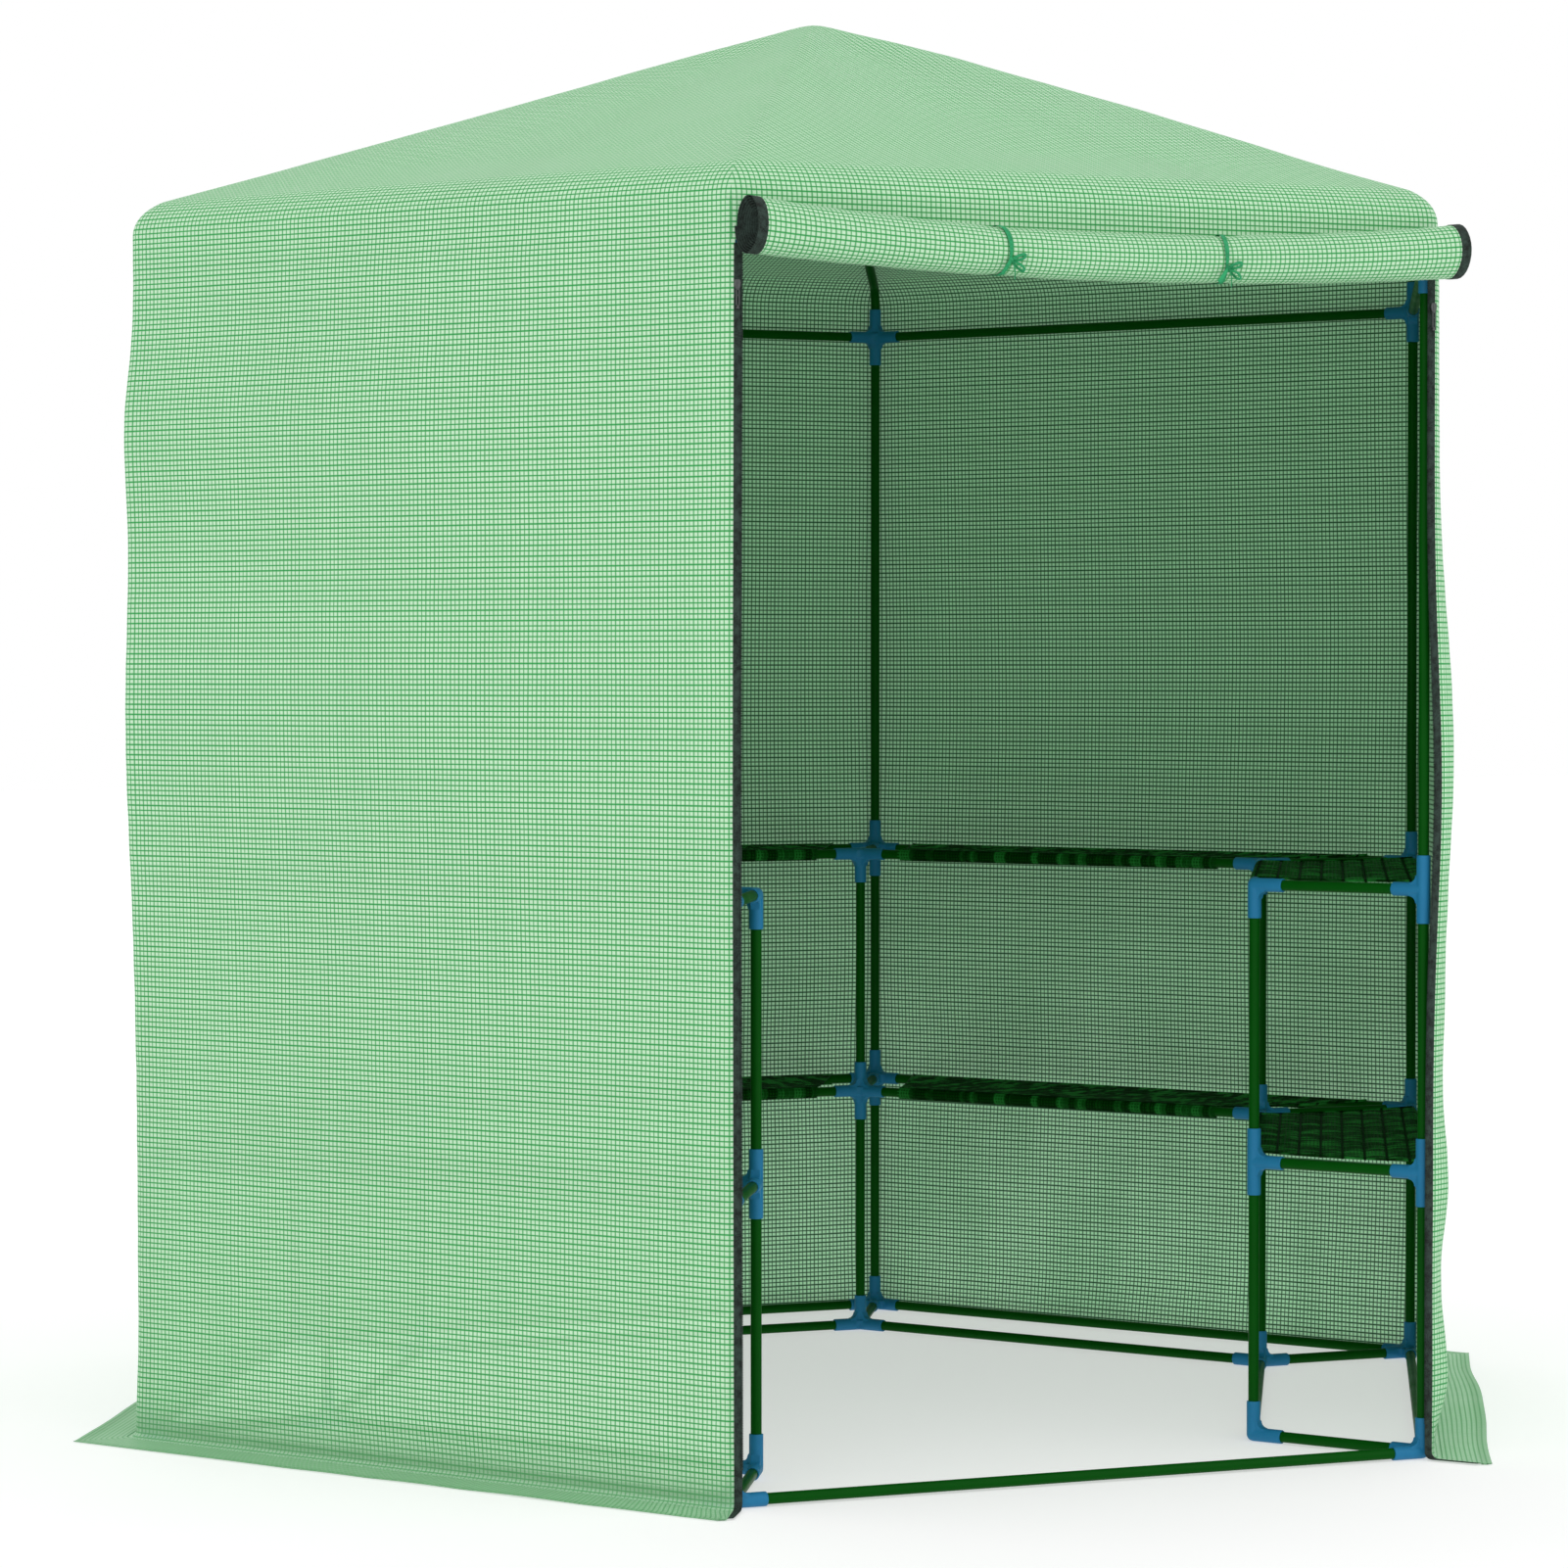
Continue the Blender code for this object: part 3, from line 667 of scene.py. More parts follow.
def moulding(name, legs, reach=LEG, hub=None):
    """Legs fused by a remesh, which rounds every edge, then bored. A hub is the
    radius, top and bottom of a round boss in the middle."""
    bm = bmesh.new()
    start = 0.0005
    if hub:
        radius, top, bottom = hub
        add_rod(bm, Vector((0, 0, bottom)), Vector((0, 0, top)), radius, 48)
        start = radius * 0.8
    else:
        bmesh.ops.create_icosphere(bm, subdivisions=3, radius=SLEEVE_R)
    for leg in legs:
        add_rod(bm, leg * start, leg * reach, SLEEVE_R)
    for first, second in itertools.combinations(legs, 2):
        add_gusset(bm, first, second)
    bmesh.ops.recalc_face_normals(bm, faces=bm.faces)
    body = object_from(bm, name)
    fuse = body.modifiers.new("Fuse", "REMESH")
    fuse.mode = "VOXEL"
    fuse.voxel_size = VOXEL
    soften = body.modifiers.new("Soften", "SMOOTH")
    soften.factor = 0.5
    soften.iterations = 4
    thin = body.modifiers.new("Thin", "DECIMATE")
    thin.ratio = 0.16
    bore_bm = bmesh.new()
    floor = HUB_SOCKET_FLOOR if hub else SOCKET_FLOOR
    for leg in legs:
        add_rod(bore_bm, leg * floor, leg * (reach + 0.004), SOCKET_R, 24)
    bores = object_from(bore_bm, name + "_bores")
    cut = body.modifiers.new("Bore", "BOOLEAN")
    cut.operation = "DIFFERENCE"
    cut.solver = "EXACT"
    cut.object = bores
    result = evaluated_mesh(body, name)
    bpy.data.objects.remove(bores, do_unlink=True)
    result.shade_smooth()
    result.set_sharp_from_angle(angle=math.radians(48))
    return result


def build_connectors():
    """One moulding for each kind of joint, shared between the corners."""
    made = {}
    for corner in CORNERS:
        has_next = corner != "front_left"           # no shelf across the doorway
        has_previous = corner != "front_right"
        shelf_sides = [NEXT] * has_next + [PREVIOUS] * has_previous
        kinds = {
            ("outer", "ground", FOOT_Z): [UP, NEXT, PREVIOUS, INWARD],
            ("outer", "lower", LOWER_SHELF_Z): [UP, DOWN, INWARD] + shelf_sides,
            ("outer", "upper", UPPER_SHELF_Z): [UP, DOWN, INWARD] + shelf_sides,
            ("outer", "eave", EAVE_Z): [UP, DOWN, NEXT, PREVIOUS],
            ("inner", "ground", FOOT_Z): [UP, OUTWARD] + shelf_sides,
            ("inner", "lower", LOWER_SHELF_Z): [UP, DOWN, OUTWARD] + shelf_sides,
            ("inner", "upper", UPPER_SHELF_Z): [DOWN, OUTWARD] + shelf_sides,
        }
        for (ring, tier, z), legs in kinds.items():
            key = tuple(tuple(round(c, 3) for c in leg) for leg in legs)
            if key not in made:
                made[key] = moulding(f"connector_{len(made)}", legs)
            radius = SIDE if ring == "outer" else INNER_RADIUS
            matrix = Matrix.Translation(corner_point(corner, radius, z))
            piece = add_piece(f"connector_{ring}_{tier}_{corner}", made[key],
                              "connector", matrix @ corner_turn(corner))
            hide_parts(f"{ring}_upright_{corner}")
            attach(piece, "greenhouse")


def build_crown():
    legs = []
    for degrees in CORNERS.values():
        leg = level(degrees) * math.cos(SLOPE)
        leg.z = -math.sin(SLOPE)
        legs.append(leg)
    mesh = moulding("crown", legs, HUB_LEG, CROWN_HUB)
    piece = add_piece("crown", mesh, "connector", Matrix.Translation((0, 0, APEX_Z)))
    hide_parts("crown_connector")
    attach(piece, "greenhouse")


# ---- shelf nets ---------------------------------------------------------------------

NET_FINE = 0.0055                # pitch of the fine strands
NET_GAP = 0.0011                 # rail to the middle of the net
NET_RING = TUBE_R + NET_GAP      # radius at which it goes round a rail
NET_WRAP = 210                   # degrees of it round a rail
NET_SAG = 0.0030
NET_DIP = 0.0016
NET_END = LEG + 0.035            # connector's centre to the net's end
NET_DEPTH = APOTHEM - NET_INNER  # inner rail to outer rail
NET_HALF_INNER = INNER_RADIUS / 2 - NET_END
NET_HALF_OUTER = SIDE / 2 - NET_END
NET_PER_RIB = round(NET_RIB / NET_FINE)
NET_THIN, NET_HEAVY = oblong(0.0019, 0.0010), oblong(0.0028, 0.0014)
NET_HEM = oblong(0.0032, 0.0022)


def net_half(share):
    """Half the net's length, a share of the way from the inner to the outer rail."""
    return NET_HALF_INNER + (NET_HALF_OUTER - NET_HALF_INNER) * share


def net_height(depth):
    """Height of the net above the rail axes. It sags between its two rails, and
    each strand across dips where it crosses a heavy strand."""
    share = (depth - NET_INNER) / NET_DEPTH
    dip = abs(math.cos(math.pi * (depth - NET_INNER) / NET_RIB)) ** 6
    return NET_RING - NET_SAG * math.sin(math.pi * share) - NET_DIP * dip


def rail_wrap(x, rail, from_degrees):
    """The end of a strand across, round the rail whose depth is given."""
    points = []
    for step in range(9):
        angle = math.radians(from_degrees - NET_WRAP * step / 8)
        points.append((x, rail + NET_RING * math.cos(angle), NET_RING * math.sin(angle)))
    return points


def cross_strand(x, depth_from):
    """One strand across a shelf, wrapped round its rails. One that starts between
    them, at depth_from, is wrapped round the outer rail only."""
    points = rail_wrap(x, NET_INNER, 90 + NET_WRAP) if depth_from is None else []
    start = NET_INNER if depth_from is None else depth_from
    count = max(3, round((APOTHEM - start) / NET_RIB * 5))
    for step in range(1, count):
        depth = start + (APOTHEM - start) * step / count
        points.append((x, depth, net_height(depth)))
    return points + rail_wrap(x, APOTHEM, 90)


def add_cross_strands(shape):
    """The strands across, every sixth of them heavy, up to the slanted ends."""
    count = round(2 * NET_HALF_OUTER / NET_FINE)
    for step in range(count + 1):
        x = NET_HALF_OUTER * (2 * step / count - 1)
        beyond = (abs(x) - NET_HALF_INNER) / (NET_HALF_OUTER - NET_HALF_INNER)
        if beyond > 0.96:
            continue
        depth_from = None if beyond <= 0 else NET_INNER + NET_DEPTH * beyond
        section = NET_HEAVY if step % NET_PER_RIB == NET_PER_RIB // 2 else NET_THIN
        shape.sweep(cross_strand(x, depth_from), section, side=(1, 0, 0))


def add_long_strands(shape):
    """The strands along the rails: across the shelf and over both rails."""
    rows = round(NET_DEPTH / NET_FINE)
    over = 5                     # strands over each rail
    for step in range(-over, rows + over + 1):
        share = min(max(step / rows, 0.0), 1.0)
        depth = NET_INNER + NET_DEPTH * share
        height = net_height(depth)
        on_shelf = 0 <= step <= rows
        if not on_shelf:
            past = -step if step < 0 else step - rows
            angle = past * NET_FINE / NET_RING
            depth += math.copysign(NET_RING * math.sin(angle), step)
            height = NET_RING * math.cos(angle)
        half = net_half(share)
        at_rib = on_shelf and step % NET_PER_RIB == 0
        section = NET_HEAVY if step in (-over, rows + over) or at_rib else NET_THIN
        path = [(half * (2 * k / 6 - 1), depth, height) for k in range(7)]
        shape.sweep(path, section, side=(0, 1, 0) if on_shelf else None)


def net_mesh():
    """A shelf's net, lying along X with its rails at y = NET_INNER and APOTHEM."""
    shape = Shape()
    add_cross_strands(shape)
    add_long_strands(shape)
    for sign in (-1, 1):
        path = []
        for k in range(9):
            depth = NET_INNER + NET_DEPTH * k / 8
            path.append((sign * net_half(k / 8), depth, net_height(depth) + 0.0004))
        shape.sweep(path, NET_HEM, side=None)
    return shape.mesh("shelf_net", sharp=50)


def build_nets():
    mesh = net_mesh()
    for tier, z in SHELF_TIERS:
        for wall, corner in WALLS.items():
            turn = Matrix.Rotation(math.radians(CORNERS[corner] + 30 - 90), 4, "Z")
            piece = add_piece(f"net_{tier}_{wall}", mesh, "shelf",
                              Matrix.Translation((0, 0, z)) @ turn)
            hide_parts(f"{tier}_shelf_{wall}")
            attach(piece, "greenhouse")


# ---- the cover's surface --------------------------------------------------------------

CORNER_ROUND = 0.028             # plan radius of the film where it turns a corner
DOOR_ROUND = 0.016               # and at the two corners beside the door
ROOF_MARGIN = 0.0112             # rafter axis to the film above it
FOOT_ROUND = 0.010               # where a wall turns into its skirt
HEM = 0.018
SKIRT_CORNER = 0.022             # rounding of the skirt's corners beside the door
FILM = 0.0008                    # between two layers that lie on each other
WALL_BELLY = 0.007               # how far the middle of a wall stands out
FOOT_PUCKER = 0.0035
PUCKER_Z = 0.10                  # height of the puckers, and how far they spread
MOST_INWARD = -0.0045            # the rails stop the film here
SKIRT_WAVE, SKIRT_TUCK, SKIRT_LIFT = 0.009, 0.004, 0.003
ROOF_SAG = 0.009                 # between two rafters
PEAK_ROUND = 0.020
PEAK_RISE, PEAK_WIDE = 0.0035, 0.6
ROOF_LOOSE, ROOF_LOOSE_SPREAD = 0.009, 32       # at the front right; degrees
SLACK_TOP_Z, SLACK_FADE = 1.74, 0.25

# Folds: amount, fineness, how much of the height counts, and seed.
WALL_FOLDS = ((0.0060, 2.6, 0.55, 1), (0.0022, 8.0, 0.35, 2), (0.0007, 24.0, 1.0, 3))
ROOF_FOLDS = ((0.0025, 3.2, 1.0, 7), (0.0008, 11.0, 1.0, 8))
ROLL_FOLDS = ((0.0011, 14.0, 1.0, 11), (0.0005, 40.0, 1.0, 12))

# Where the film stands further out at a corner: height, spread and amount.
CORNER_SLACK = {
    "left": ((1.54, 0.17, 0.014), (1.10, 0.27, 0.0145)),
    "front_left": ((0.95, 0.45, 0.002),),
    "front_right": ((1.02, 0.30, 0.026), (0.62, 0.16, 0.008), (0.40, 0.11, 0.018),
                    (0.12, 0.12, 0.018)),
    "right": ((1.20, 0.22, 0.010), (0.30, 0.20, 0.010)),
    "back_right": ((1.10, 0.25, 0.009), (0.45, 0.12, 0.008)),
    "back_left": ((1.30, 0.20, 0.012), (0.62, 0.18, 0.008)),
}

# And at the free edges beside the door, which the zip tapes follow.
EDGE_SLACK = {
    "front_left": ((0.95, 0.45, 0.002),),
    "front_right": ((0.98, 0.24, 0.013),),
}


def slack(bulges, z):
    """Outward slack of the film at height z. It is tight at the eave."""
    total = np.zeros_like(z)
    for height, spread, amount in bulges:
        total += amount * np.exp(-(((z - height) / spread) ** 2))
    return total * smoothstep((SLACK_TOP_Z - z) / SLACK_FADE)


def smooth_noise(points, scale, seed):
    """Blender's noise at each row of points, from about -1 to 1."""
    shift = Vector((seed * 3.7, seed * 1.3, seed * 7.1))
    spots = (Vector(point) for point in np.asarray(points) * scale)
    return np.array([noise.noise(spot + shift) for spot in spots])


def folds_at(spots, layers, shape):
    """Sum of the layers of folds at each row of points, as a grid."""
    return sum(amount * smooth_noise(spots * (1, 1, tall), fineness, seed)
               for amount, fineness, tall, seed in layers).reshape(shape)


def cloth_length(steps):
    return np.concatenate(([0.0], np.cumsum(steps)))


def plan_curve(distance, reach, rounding):
    """One half side in plan, from its middle to round its corner and beyond.

    distance is metres of cloth from the side's middle at the wall; returns the
    place along the side, the place out from the centre and the turn there."""
    wall_half = (APOTHEM + WALL_REACH) * TAN30 - rounding * TAN30
    radius = rounding * np.clip(1.3 - (reach - WALL_REACH) / 0.06, 0.12, 1.0)
    straight = (APOTHEM + reach) * TAN30 - radius * TAN30
    turn = np.clip((distance - wall_half) / rounding, 0.0, math.radians(60))
    past = np.maximum(distance - wall_half - rounding * math.radians(60), 0.0)
    share = np.minimum(distance / wall_half, 1.0)
    along = straight * share + radius * np.sin(turn) + past * 0.5
    out = APOTHEM + reach - radius * (1 - np.cos(turn)) - past * COS30
    return along, out, turn


def side_frame(corner):
    """Directions along a side and out of it."""
    middle_angle = math.radians(CORNERS[corner] + 30)
    out = np.array((math.cos(middle_angle), math.sin(middle_angle), 0.0))
    along = np.array((-math.sin(middle_angle), math.cos(middle_angle), 0.0))
    return along, out


def wall_profile(top):
    """Reach, height and cloth length down a wall: from the folded hem, over the
    skirt and round the foot, up to the seam with the roof."""
    edge = SKIRT_REACH
    rows = [(edge - HEM, FILM), (edge - HEM / 2, FILM), (edge - 0.001, FILM)]
    rows += [(edge, 1.5 * FILM), (edge - 0.001, 2.2 * FILM)]
    skirt_in = WALL_REACH + FOOT_ROUND
    rows += [(edge + (skirt_in - edge) * k / 9, 2.5 * FILM) for k in range(1, 10)]
    base = 2.5 * FILM + FOOT_ROUND
    for k in range(1, 6):
        angle = math.pi / 2 * k / 6
        rows.append((skirt_in - FOOT_ROUND * math.sin(angle),
                     base - FOOT_ROUND * math.cos(angle)))
    count = 150
    rows += [(WALL_REACH, base + (top - base) * k / count) for k in range(count + 1)]
    rows = np.array(rows)
    length = cloth_length(np.hypot(*np.diff(rows, axis=0).T))
    return rows[:, 0], rows[:, 1], length - length[-1]


def looseness(corner, d, z, half, door_end):
    """Slack of the film between a wall's two corners, and how far each point is
    beside the door: 1 at the free edge, which hangs straight."""
    after = next_corner(corner)
    share = smoothstep(d / half / 2 + 0.5)
    loose = (slack(CORNER_SLACK[corner], z) * (1 - share)
             + slack(CORNER_SLACK[after], z) * share)
    beside = np.zeros_like(d)
    if door_end:
        beside = smoothstep((door_end * d - half + 0.045) / 0.055)
        edge = slack(EDGE_SLACK[after if door_end > 0 else corner], z)
        loose += (edge - loose) * beside
    return loose, beside


def stand_off(spot, d, z, half, loose, beside):
    """How far the upright film stands out of its plane."""
    upright = smoothstep((z - 0.004) / 0.10) * smoothstep((WALL_TOP_Z + 0.01 - z) / 0.10)
    folds = folds_at(spot, WALL_FOLDS, z.shape) * (1 - 0.9 * beside)
    belly = WALL_BELLY * np.cos(np.clip(d / half, -1, 1) * math.pi / 2) ** 2
    low = np.exp(-(((z - PUCKER_Z) / PUCKER_Z) ** 2))
    puckers = smooth_noise(spot * (1, 1, 0.3), 15.0, 4).reshape(z.shape)
    puckers *= FOOT_PUCKER * low * (1 - beside)
    return np.maximum(upright * (loose + belly + folds + puckers), MOST_INWARD)


def skirt_shape(spot, reach):
    """How far the skirt moves outward, and how far it lifts off the ground."""
    skirt = np.clip((reach - WALL_REACH - FOOT_ROUND) / (SKIRT_REACH - WALL_REACH), 0, 1)
    wave = smooth_noise(spot * (1, 1, 0), 3.2, 5).reshape(reach.shape)
    ripple = np.abs(smooth_noise(spot * (1, 1, 0), 5.0, 6)).reshape(reach.shape)
    return skirt * (SKIRT_WAVE * wave - SKIRT_TUCK), skirt ** 2 * SKIRT_LIFT * ripple


def wall_points(corner, distances, rows, ends, door_end=0):
    """Points of a wall for cloth distances from its middle and profile rows.
    ends gives the rounding at the side's first and last corner; door_end is -1 or
    1 where one of them is a free edge beside the door."""
    reach, height, _ = rows
    along_axis, out_axis = side_frame(corner)
    d, r = np.meshgrid(distances, reach)
    _, z = np.meshgrid(distances, height)
    along, out, turn = plan_curve(np.abs(d), r, np.where(d < 0, ends[0], ends[1]))
    along, turn = np.sign(d) * along, np.sign(d) * turn
    spot = along.reshape(-1, 1) * along_axis + out.reshape(-1, 1) * out_axis
    spot[:, 2] = z.ravel()

    half = (APOTHEM + WALL_REACH) * TAN30
    loose, beside = looseness(corner, d, z, half, door_end)
    move = stand_off(spot, d, z, half, loose, beside)
    skirt_move, lift = skirt_shape(spot, r)
    move += skirt_move
    aim = turn * (1 - beside) - door_end * math.radians(30) * beside
    along = along + np.sin(aim) * move
    out = out + np.cos(aim) * move
    if door_end:
        into = np.clip(r - SKIRT_REACH + SKIRT_CORNER, 0, SKIRT_CORNER)
        pull = SKIRT_CORNER - np.sqrt(SKIRT_CORNER ** 2 - into ** 2)
        last = np.max(door_end * distances)
        along -= door_end * pull * smoothstep((door_end * d - last + 0.06) / 0.06)
    points = along[..., None] * along_axis + out[..., None] * out_axis
    points[..., 2] = z + lift
    return points


def wall_columns(first, last):
    """Cloth distances across a wall, closer together round its two corners."""
    inner = min(-first, last, 0.52)
    middle_part = np.linspace(-inner, inner, 92)
    start = np.linspace(first, -inner, 8)[:-1]
    end = np.linspace(inner, last, 8)[1:]
    return np.concatenate([start, middle_part, end])


def half_cloth(rounding, degrees=30):
    """Cloth from the middle of a side to a turn of so many degrees."""
    straight = (APOTHEM + WALL_REACH) * TAN30 - rounding * TAN30
    return straight + rounding * math.radians(degrees)


def add_sheet_piece(name, points, weave, node, slot="cover"):
    rows, columns = points.shape[:2]
    mesh = mesh_from(name, points.reshape(-1, 3), grid_faces(rows, columns),
                     weave=weave.reshape(-1, 2))
    piece = add_piece(name, mesh, slot)
    if node:
        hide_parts(node)
    return piece


def weave_of(distances, length):
    u, v = np.meshgrid(distances, length)
    return np.stack([u, v], axis=-1)


TAPE_FROM = 44                   # degrees round the door's corner where a tape starts
TAPE_LIFT = 0.0009               # the film to the face of the tape on it
TAPE_WIDE = 0.0120
TOOTH_PITCH = 0.0022
DOOR_ENDS = {"left_front": 1, "right_front": -1}


def build_walls():
    rows = wall_profile(WALL_TOP_Z)
    for wall, corner in WALLS.items():
        ends = [CORNER_ROUND, CORNER_ROUND]
        spans = [half_cloth(CORNER_ROUND)] * 2
        door_end = DOOR_ENDS.get(wall, 0)
        if door_end:
            place = 0 if door_end < 0 else 1
            ends[place] = DOOR_ROUND
            spans[place] = half_cloth(DOOR_ROUND, TAPE_FROM + 6)
        distances = wall_columns(-spans[0], spans[1])
        points = wall_points(corner, distances, rows, ends, door_end)
        piece = add_sheet_piece(f"film_wall_{wall}", points,
                                weave_of(distances, rows[2]), f"cover_wall_{wall}")
        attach(piece, "greenhouse")


def roof_profile():
    """Corner radius, height and cloth length from the walls' top to the peak."""
    first = (APOTHEM + WALL_REACH) / COS30 - SIDE
    rows = [(SIDE + first, WALL_TOP_Z), (SIDE + first, EAVE_Z + LEG)]
    steps = 16
    for step in range(1, steps + 1):
        share = step / steps
        angle = (math.pi / 2 - SLOPE) * share
        offset = first + (ROOF_MARGIN - first) * smoothstep(share * 1.2)
        spoke = RAFTER_BEND_R + offset
        rows.append((SIDE - RAFTER_BEND_R + spoke * math.cos(angle),
                     EAVE_Z + LEG + spoke * math.sin(angle)))
    end_r, end_z = rows[-1]
    count = 84
    for step in range(1, count + 1):
        radius = end_r * (1 - step / count)
        rise = (end_r - radius) * math.tan(SLOPE)
        rows.append((radius, end_z + rise))
    rows = np.array(rows)
    soft = np.sqrt(rows[:, 0] ** 2 + PEAK_ROUND ** 2) - rows[:, 0]
    rows[:, 1] -= soft * math.tan(SLOPE)
    rows[:, 1] += PEAK_RISE * (1 - smoothstep(rows[:, 0] / PEAK_WIDE))
    steps = np.hypot(*(np.diff(rows, axis=0) * (COS30, 1)).T)
    return rows[:, 0], rows[:, 1], cloth_length(steps)


def roof_points(corner, shares, rows):
    """Points of one roof side and cloth metres across it; shares run from -1 to 1
    between its corners."""
    radius, height, _ = rows
    along_axis, out_axis = side_frame(corner)
    s, r = np.meshgrid(shares, radius)
    _, z = np.meshgrid(shares, height)
    rounding = np.minimum(CORNER_ROUND, 0.35 * r + 0.0001)
    straight = r / 2 - rounding * TAN30
    half = straight + rounding * math.radians(30)
    distance = np.abs(s) * half
    turn = np.clip((distance - straight) / rounding, 0, math.radians(30))
    along = np.minimum(distance, straight) + rounding * np.sin(turn)
    out = r * COS30 - rounding * (1 - np.cos(turn))
    along = np.sign(s) * along
    spot = along.reshape(-1, 1) * along_axis + out.reshape(-1, 1) * out_axis
    spot[:, 2] = z.ravel()
    slope_share = smoothstep((SIDE - 0.02 - r) / 0.20) * smoothstep(r / 0.25)
    sag = -ROOF_SAG * (np.cos(np.clip(s, -1, 1) * math.pi / 2)) ** 2 * slope_share
    folds = folds_at(spot, ROOF_FOLDS, z.shape)
    lift = sag + np.maximum(folds, -0.001) * slope_share
    angle = np.degrees(np.arctan2(spot[:, 1], spot[:, 0])).reshape(z.shape) % 360
    near_right = np.exp(-(((angle - CORNERS["front_right"]) / ROOF_LOOSE_SPREAD) ** 2))
    lift += ROOF_LOOSE * near_right * smoothstep((1.02 - r) / 0.5) * smoothstep(r / 0.3)
    points = spot.reshape(*z.shape, 3)
    points[..., 2] += lift
    return points, s * half


def build_roof():
    """Six gores that share their edges along the rafters."""
    rows = roof_profile()
    arc = 0.945                  # from here to 1 the cloth turns round the rafter
    arcs = np.linspace(arc, 1, 6)
    shares = np.unique(np.concatenate([-arcs, np.linspace(-arc, arc, 61), arcs]))
    all_points, all_weave, faces = [], [], []
    for corner in CORNERS:
        points, weave_u = roof_points(corner, shares, rows)
        weave_v = np.broadcast_to(rows[2][:, None], weave_u.shape)
        count = points.shape[0] * points.shape[1]
        faces += grid_faces(*points.shape[:2], start=count * len(all_points))
        all_points.append(points.reshape(-1, 3))
        all_weave.append(np.stack([weave_u, weave_v], axis=-1).reshape(-1, 2))
    mesh = mesh_from("film_roof", np.concatenate(all_points), faces,
                     weave=np.concatenate(all_weave))
    bm = bmesh.new()
    bm.from_mesh(mesh)
    bmesh.ops.remove_doubles(bm, verts=bm.verts, dist=0.00008)
    bmesh.ops.dissolve_degenerate(bm, edges=bm.edges, dist=0.00001)
    bm.to_mesh(mesh)
    bm.free()
    mesh.shade_smooth()
    piece = add_piece("film_roof", mesh, "cover")
    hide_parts("cover_roof")
    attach(piece, "greenhouse")


def build_stitching():
    """The seam along the foot of each wall: light stitches 3 mm long."""
    pitch, length = 0.0055, 0.0032
    row = np.array([WALL_REACH + FOOT_ROUND + 0.003])
    rows = (row, np.array([2.5 * FILM + 0.0004]), np.zeros(1))
    half = half_cloth(CORNER_ROUND, 10)
    for wall, corner in WALLS.items():
        door_end = DOOR_ENDS.get(wall, 0)
        ends = [DOOR_ROUND if door_end == side else CORNER_ROUND for side in (-1, 1)]
        starts = np.arange(-half, half, pitch)
        first = wall_points(corner, starts, rows, ends, door_end)[0]
        last = wall_points(corner, starts + length, rows, ends, door_end)[0]
        shape = Shape()
        for start, end in zip(first, last):
            shape.sweep([start, end], oblong(0.0011, 0.0009), side=(0, 0, 1))
        name = f"stitches_{wall}"
        mesh = shape.mesh(name)
        mesh.materials.append(MATERIALS["stitch"])
        piece = add_piece(name, mesh, "cover")
        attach(piece, "greenhouse")


# ---- the doorway ------------------------------------------------------------------------


def door_sheet_points(distances, heights, reach=WALL_REACH):
    """Film in the door's plane, which follows the same surface as the walls."""
    reaches = np.full(len(heights), reach)
    rows = (reaches, np.array(heights), np.array(heights))
    return wall_points(DOOR_START, distances, rows, (DOOR_ROUND, DOOR_ROUND))


def build_header():
    """The strip over the door, down to where the panel starts."""
    span = half_cloth(DOOR_ROUND)
    distances = wall_columns(-span, span)
    heights = np.linspace(HEADER_LOW_Z, WALL_TOP_Z, 12)
    points = door_sheet_points(distances, heights)
    piece = add_sheet_piece("film_header", points,
                            weave_of(distances, heights - WALL_TOP_Z), "door_header")
    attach(piece, "greenhouse")


def build_zip_tapes():
    """A woven tape with moulded teeth down each edge of the doorway; it goes on
    round the foot and out along the end of the skirt."""
    profile = wall_profile(TAPE_TOP_Z)
    keep = np.arange(len(profile[0])) >= 6
    rows = tuple(values[keep] for values in profile)
    for side, corner, sign in (("left", "left", 1), ("right", "front_right", -1)):
        start = half_cloth(DOOR_ROUND, TAPE_FROM)
        distances = sign * np.linspace(start, start + TAPE_WIDE, 8)
        ends = (CORNER_ROUND, DOOR_ROUND) if sign > 0 else (DOOR_ROUND, CORNER_ROUND)
        points = wall_points(corner, distances, rows, ends, sign)
        if sign < 0:
            points = points[:, ::-1]
        outside = offset_rows(points, TAPE_LIFT)
        inside = offset_rows(points, 0.0002)
        faces = closed_sheet_faces(*points.shape[:2])
        mesh = mesh_from(f"tape_{side}", np.concatenate([outside, inside]), faces)
        piece = add_piece(f"tape_{side}", mesh, "zip_tape")
        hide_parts(f"zip_tape_{side}")
        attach(piece, "greenhouse")
        add_teeth(f"teeth_{side}", outside.reshape(points.shape), sign)


def offset_rows(points, distance):
    """The grid pushed outward along its own normals, as rows of points."""
    by_row = np.gradient(points, axis=0)
    by_column = np.gradient(points, axis=1)
    normal = np.cross(by_column, by_row)
    normal /= np.maximum(np.linalg.norm(normal, axis=-1, keepdims=True), 1e-9)
    return (points + normal * distance).reshape(-1, 3)


def closed_sheet_faces(rows, columns):
    """Front, back and rim of a thin sheet given as two grids of points."""
    count = rows * columns
    front = grid_faces(rows, columns)
    back = [tuple(corner + count for corner in face[::-1]) for face in front]
    rim = ([(0, c) for c in range(columns)] + [(r, columns - 1) for r in range(1, rows)]
           + [(rows - 1, c) for c in range(columns - 2, -1, -1)]
           + [(r, 0) for r in range(rows - 2, 0, -1)])
    loop = [row * columns + column for row, column in rim]
    edges = zip(loop, loop[1:] + loop[:1])
    return front + back + [(b, a, a + count, b + count) for a, b in edges]


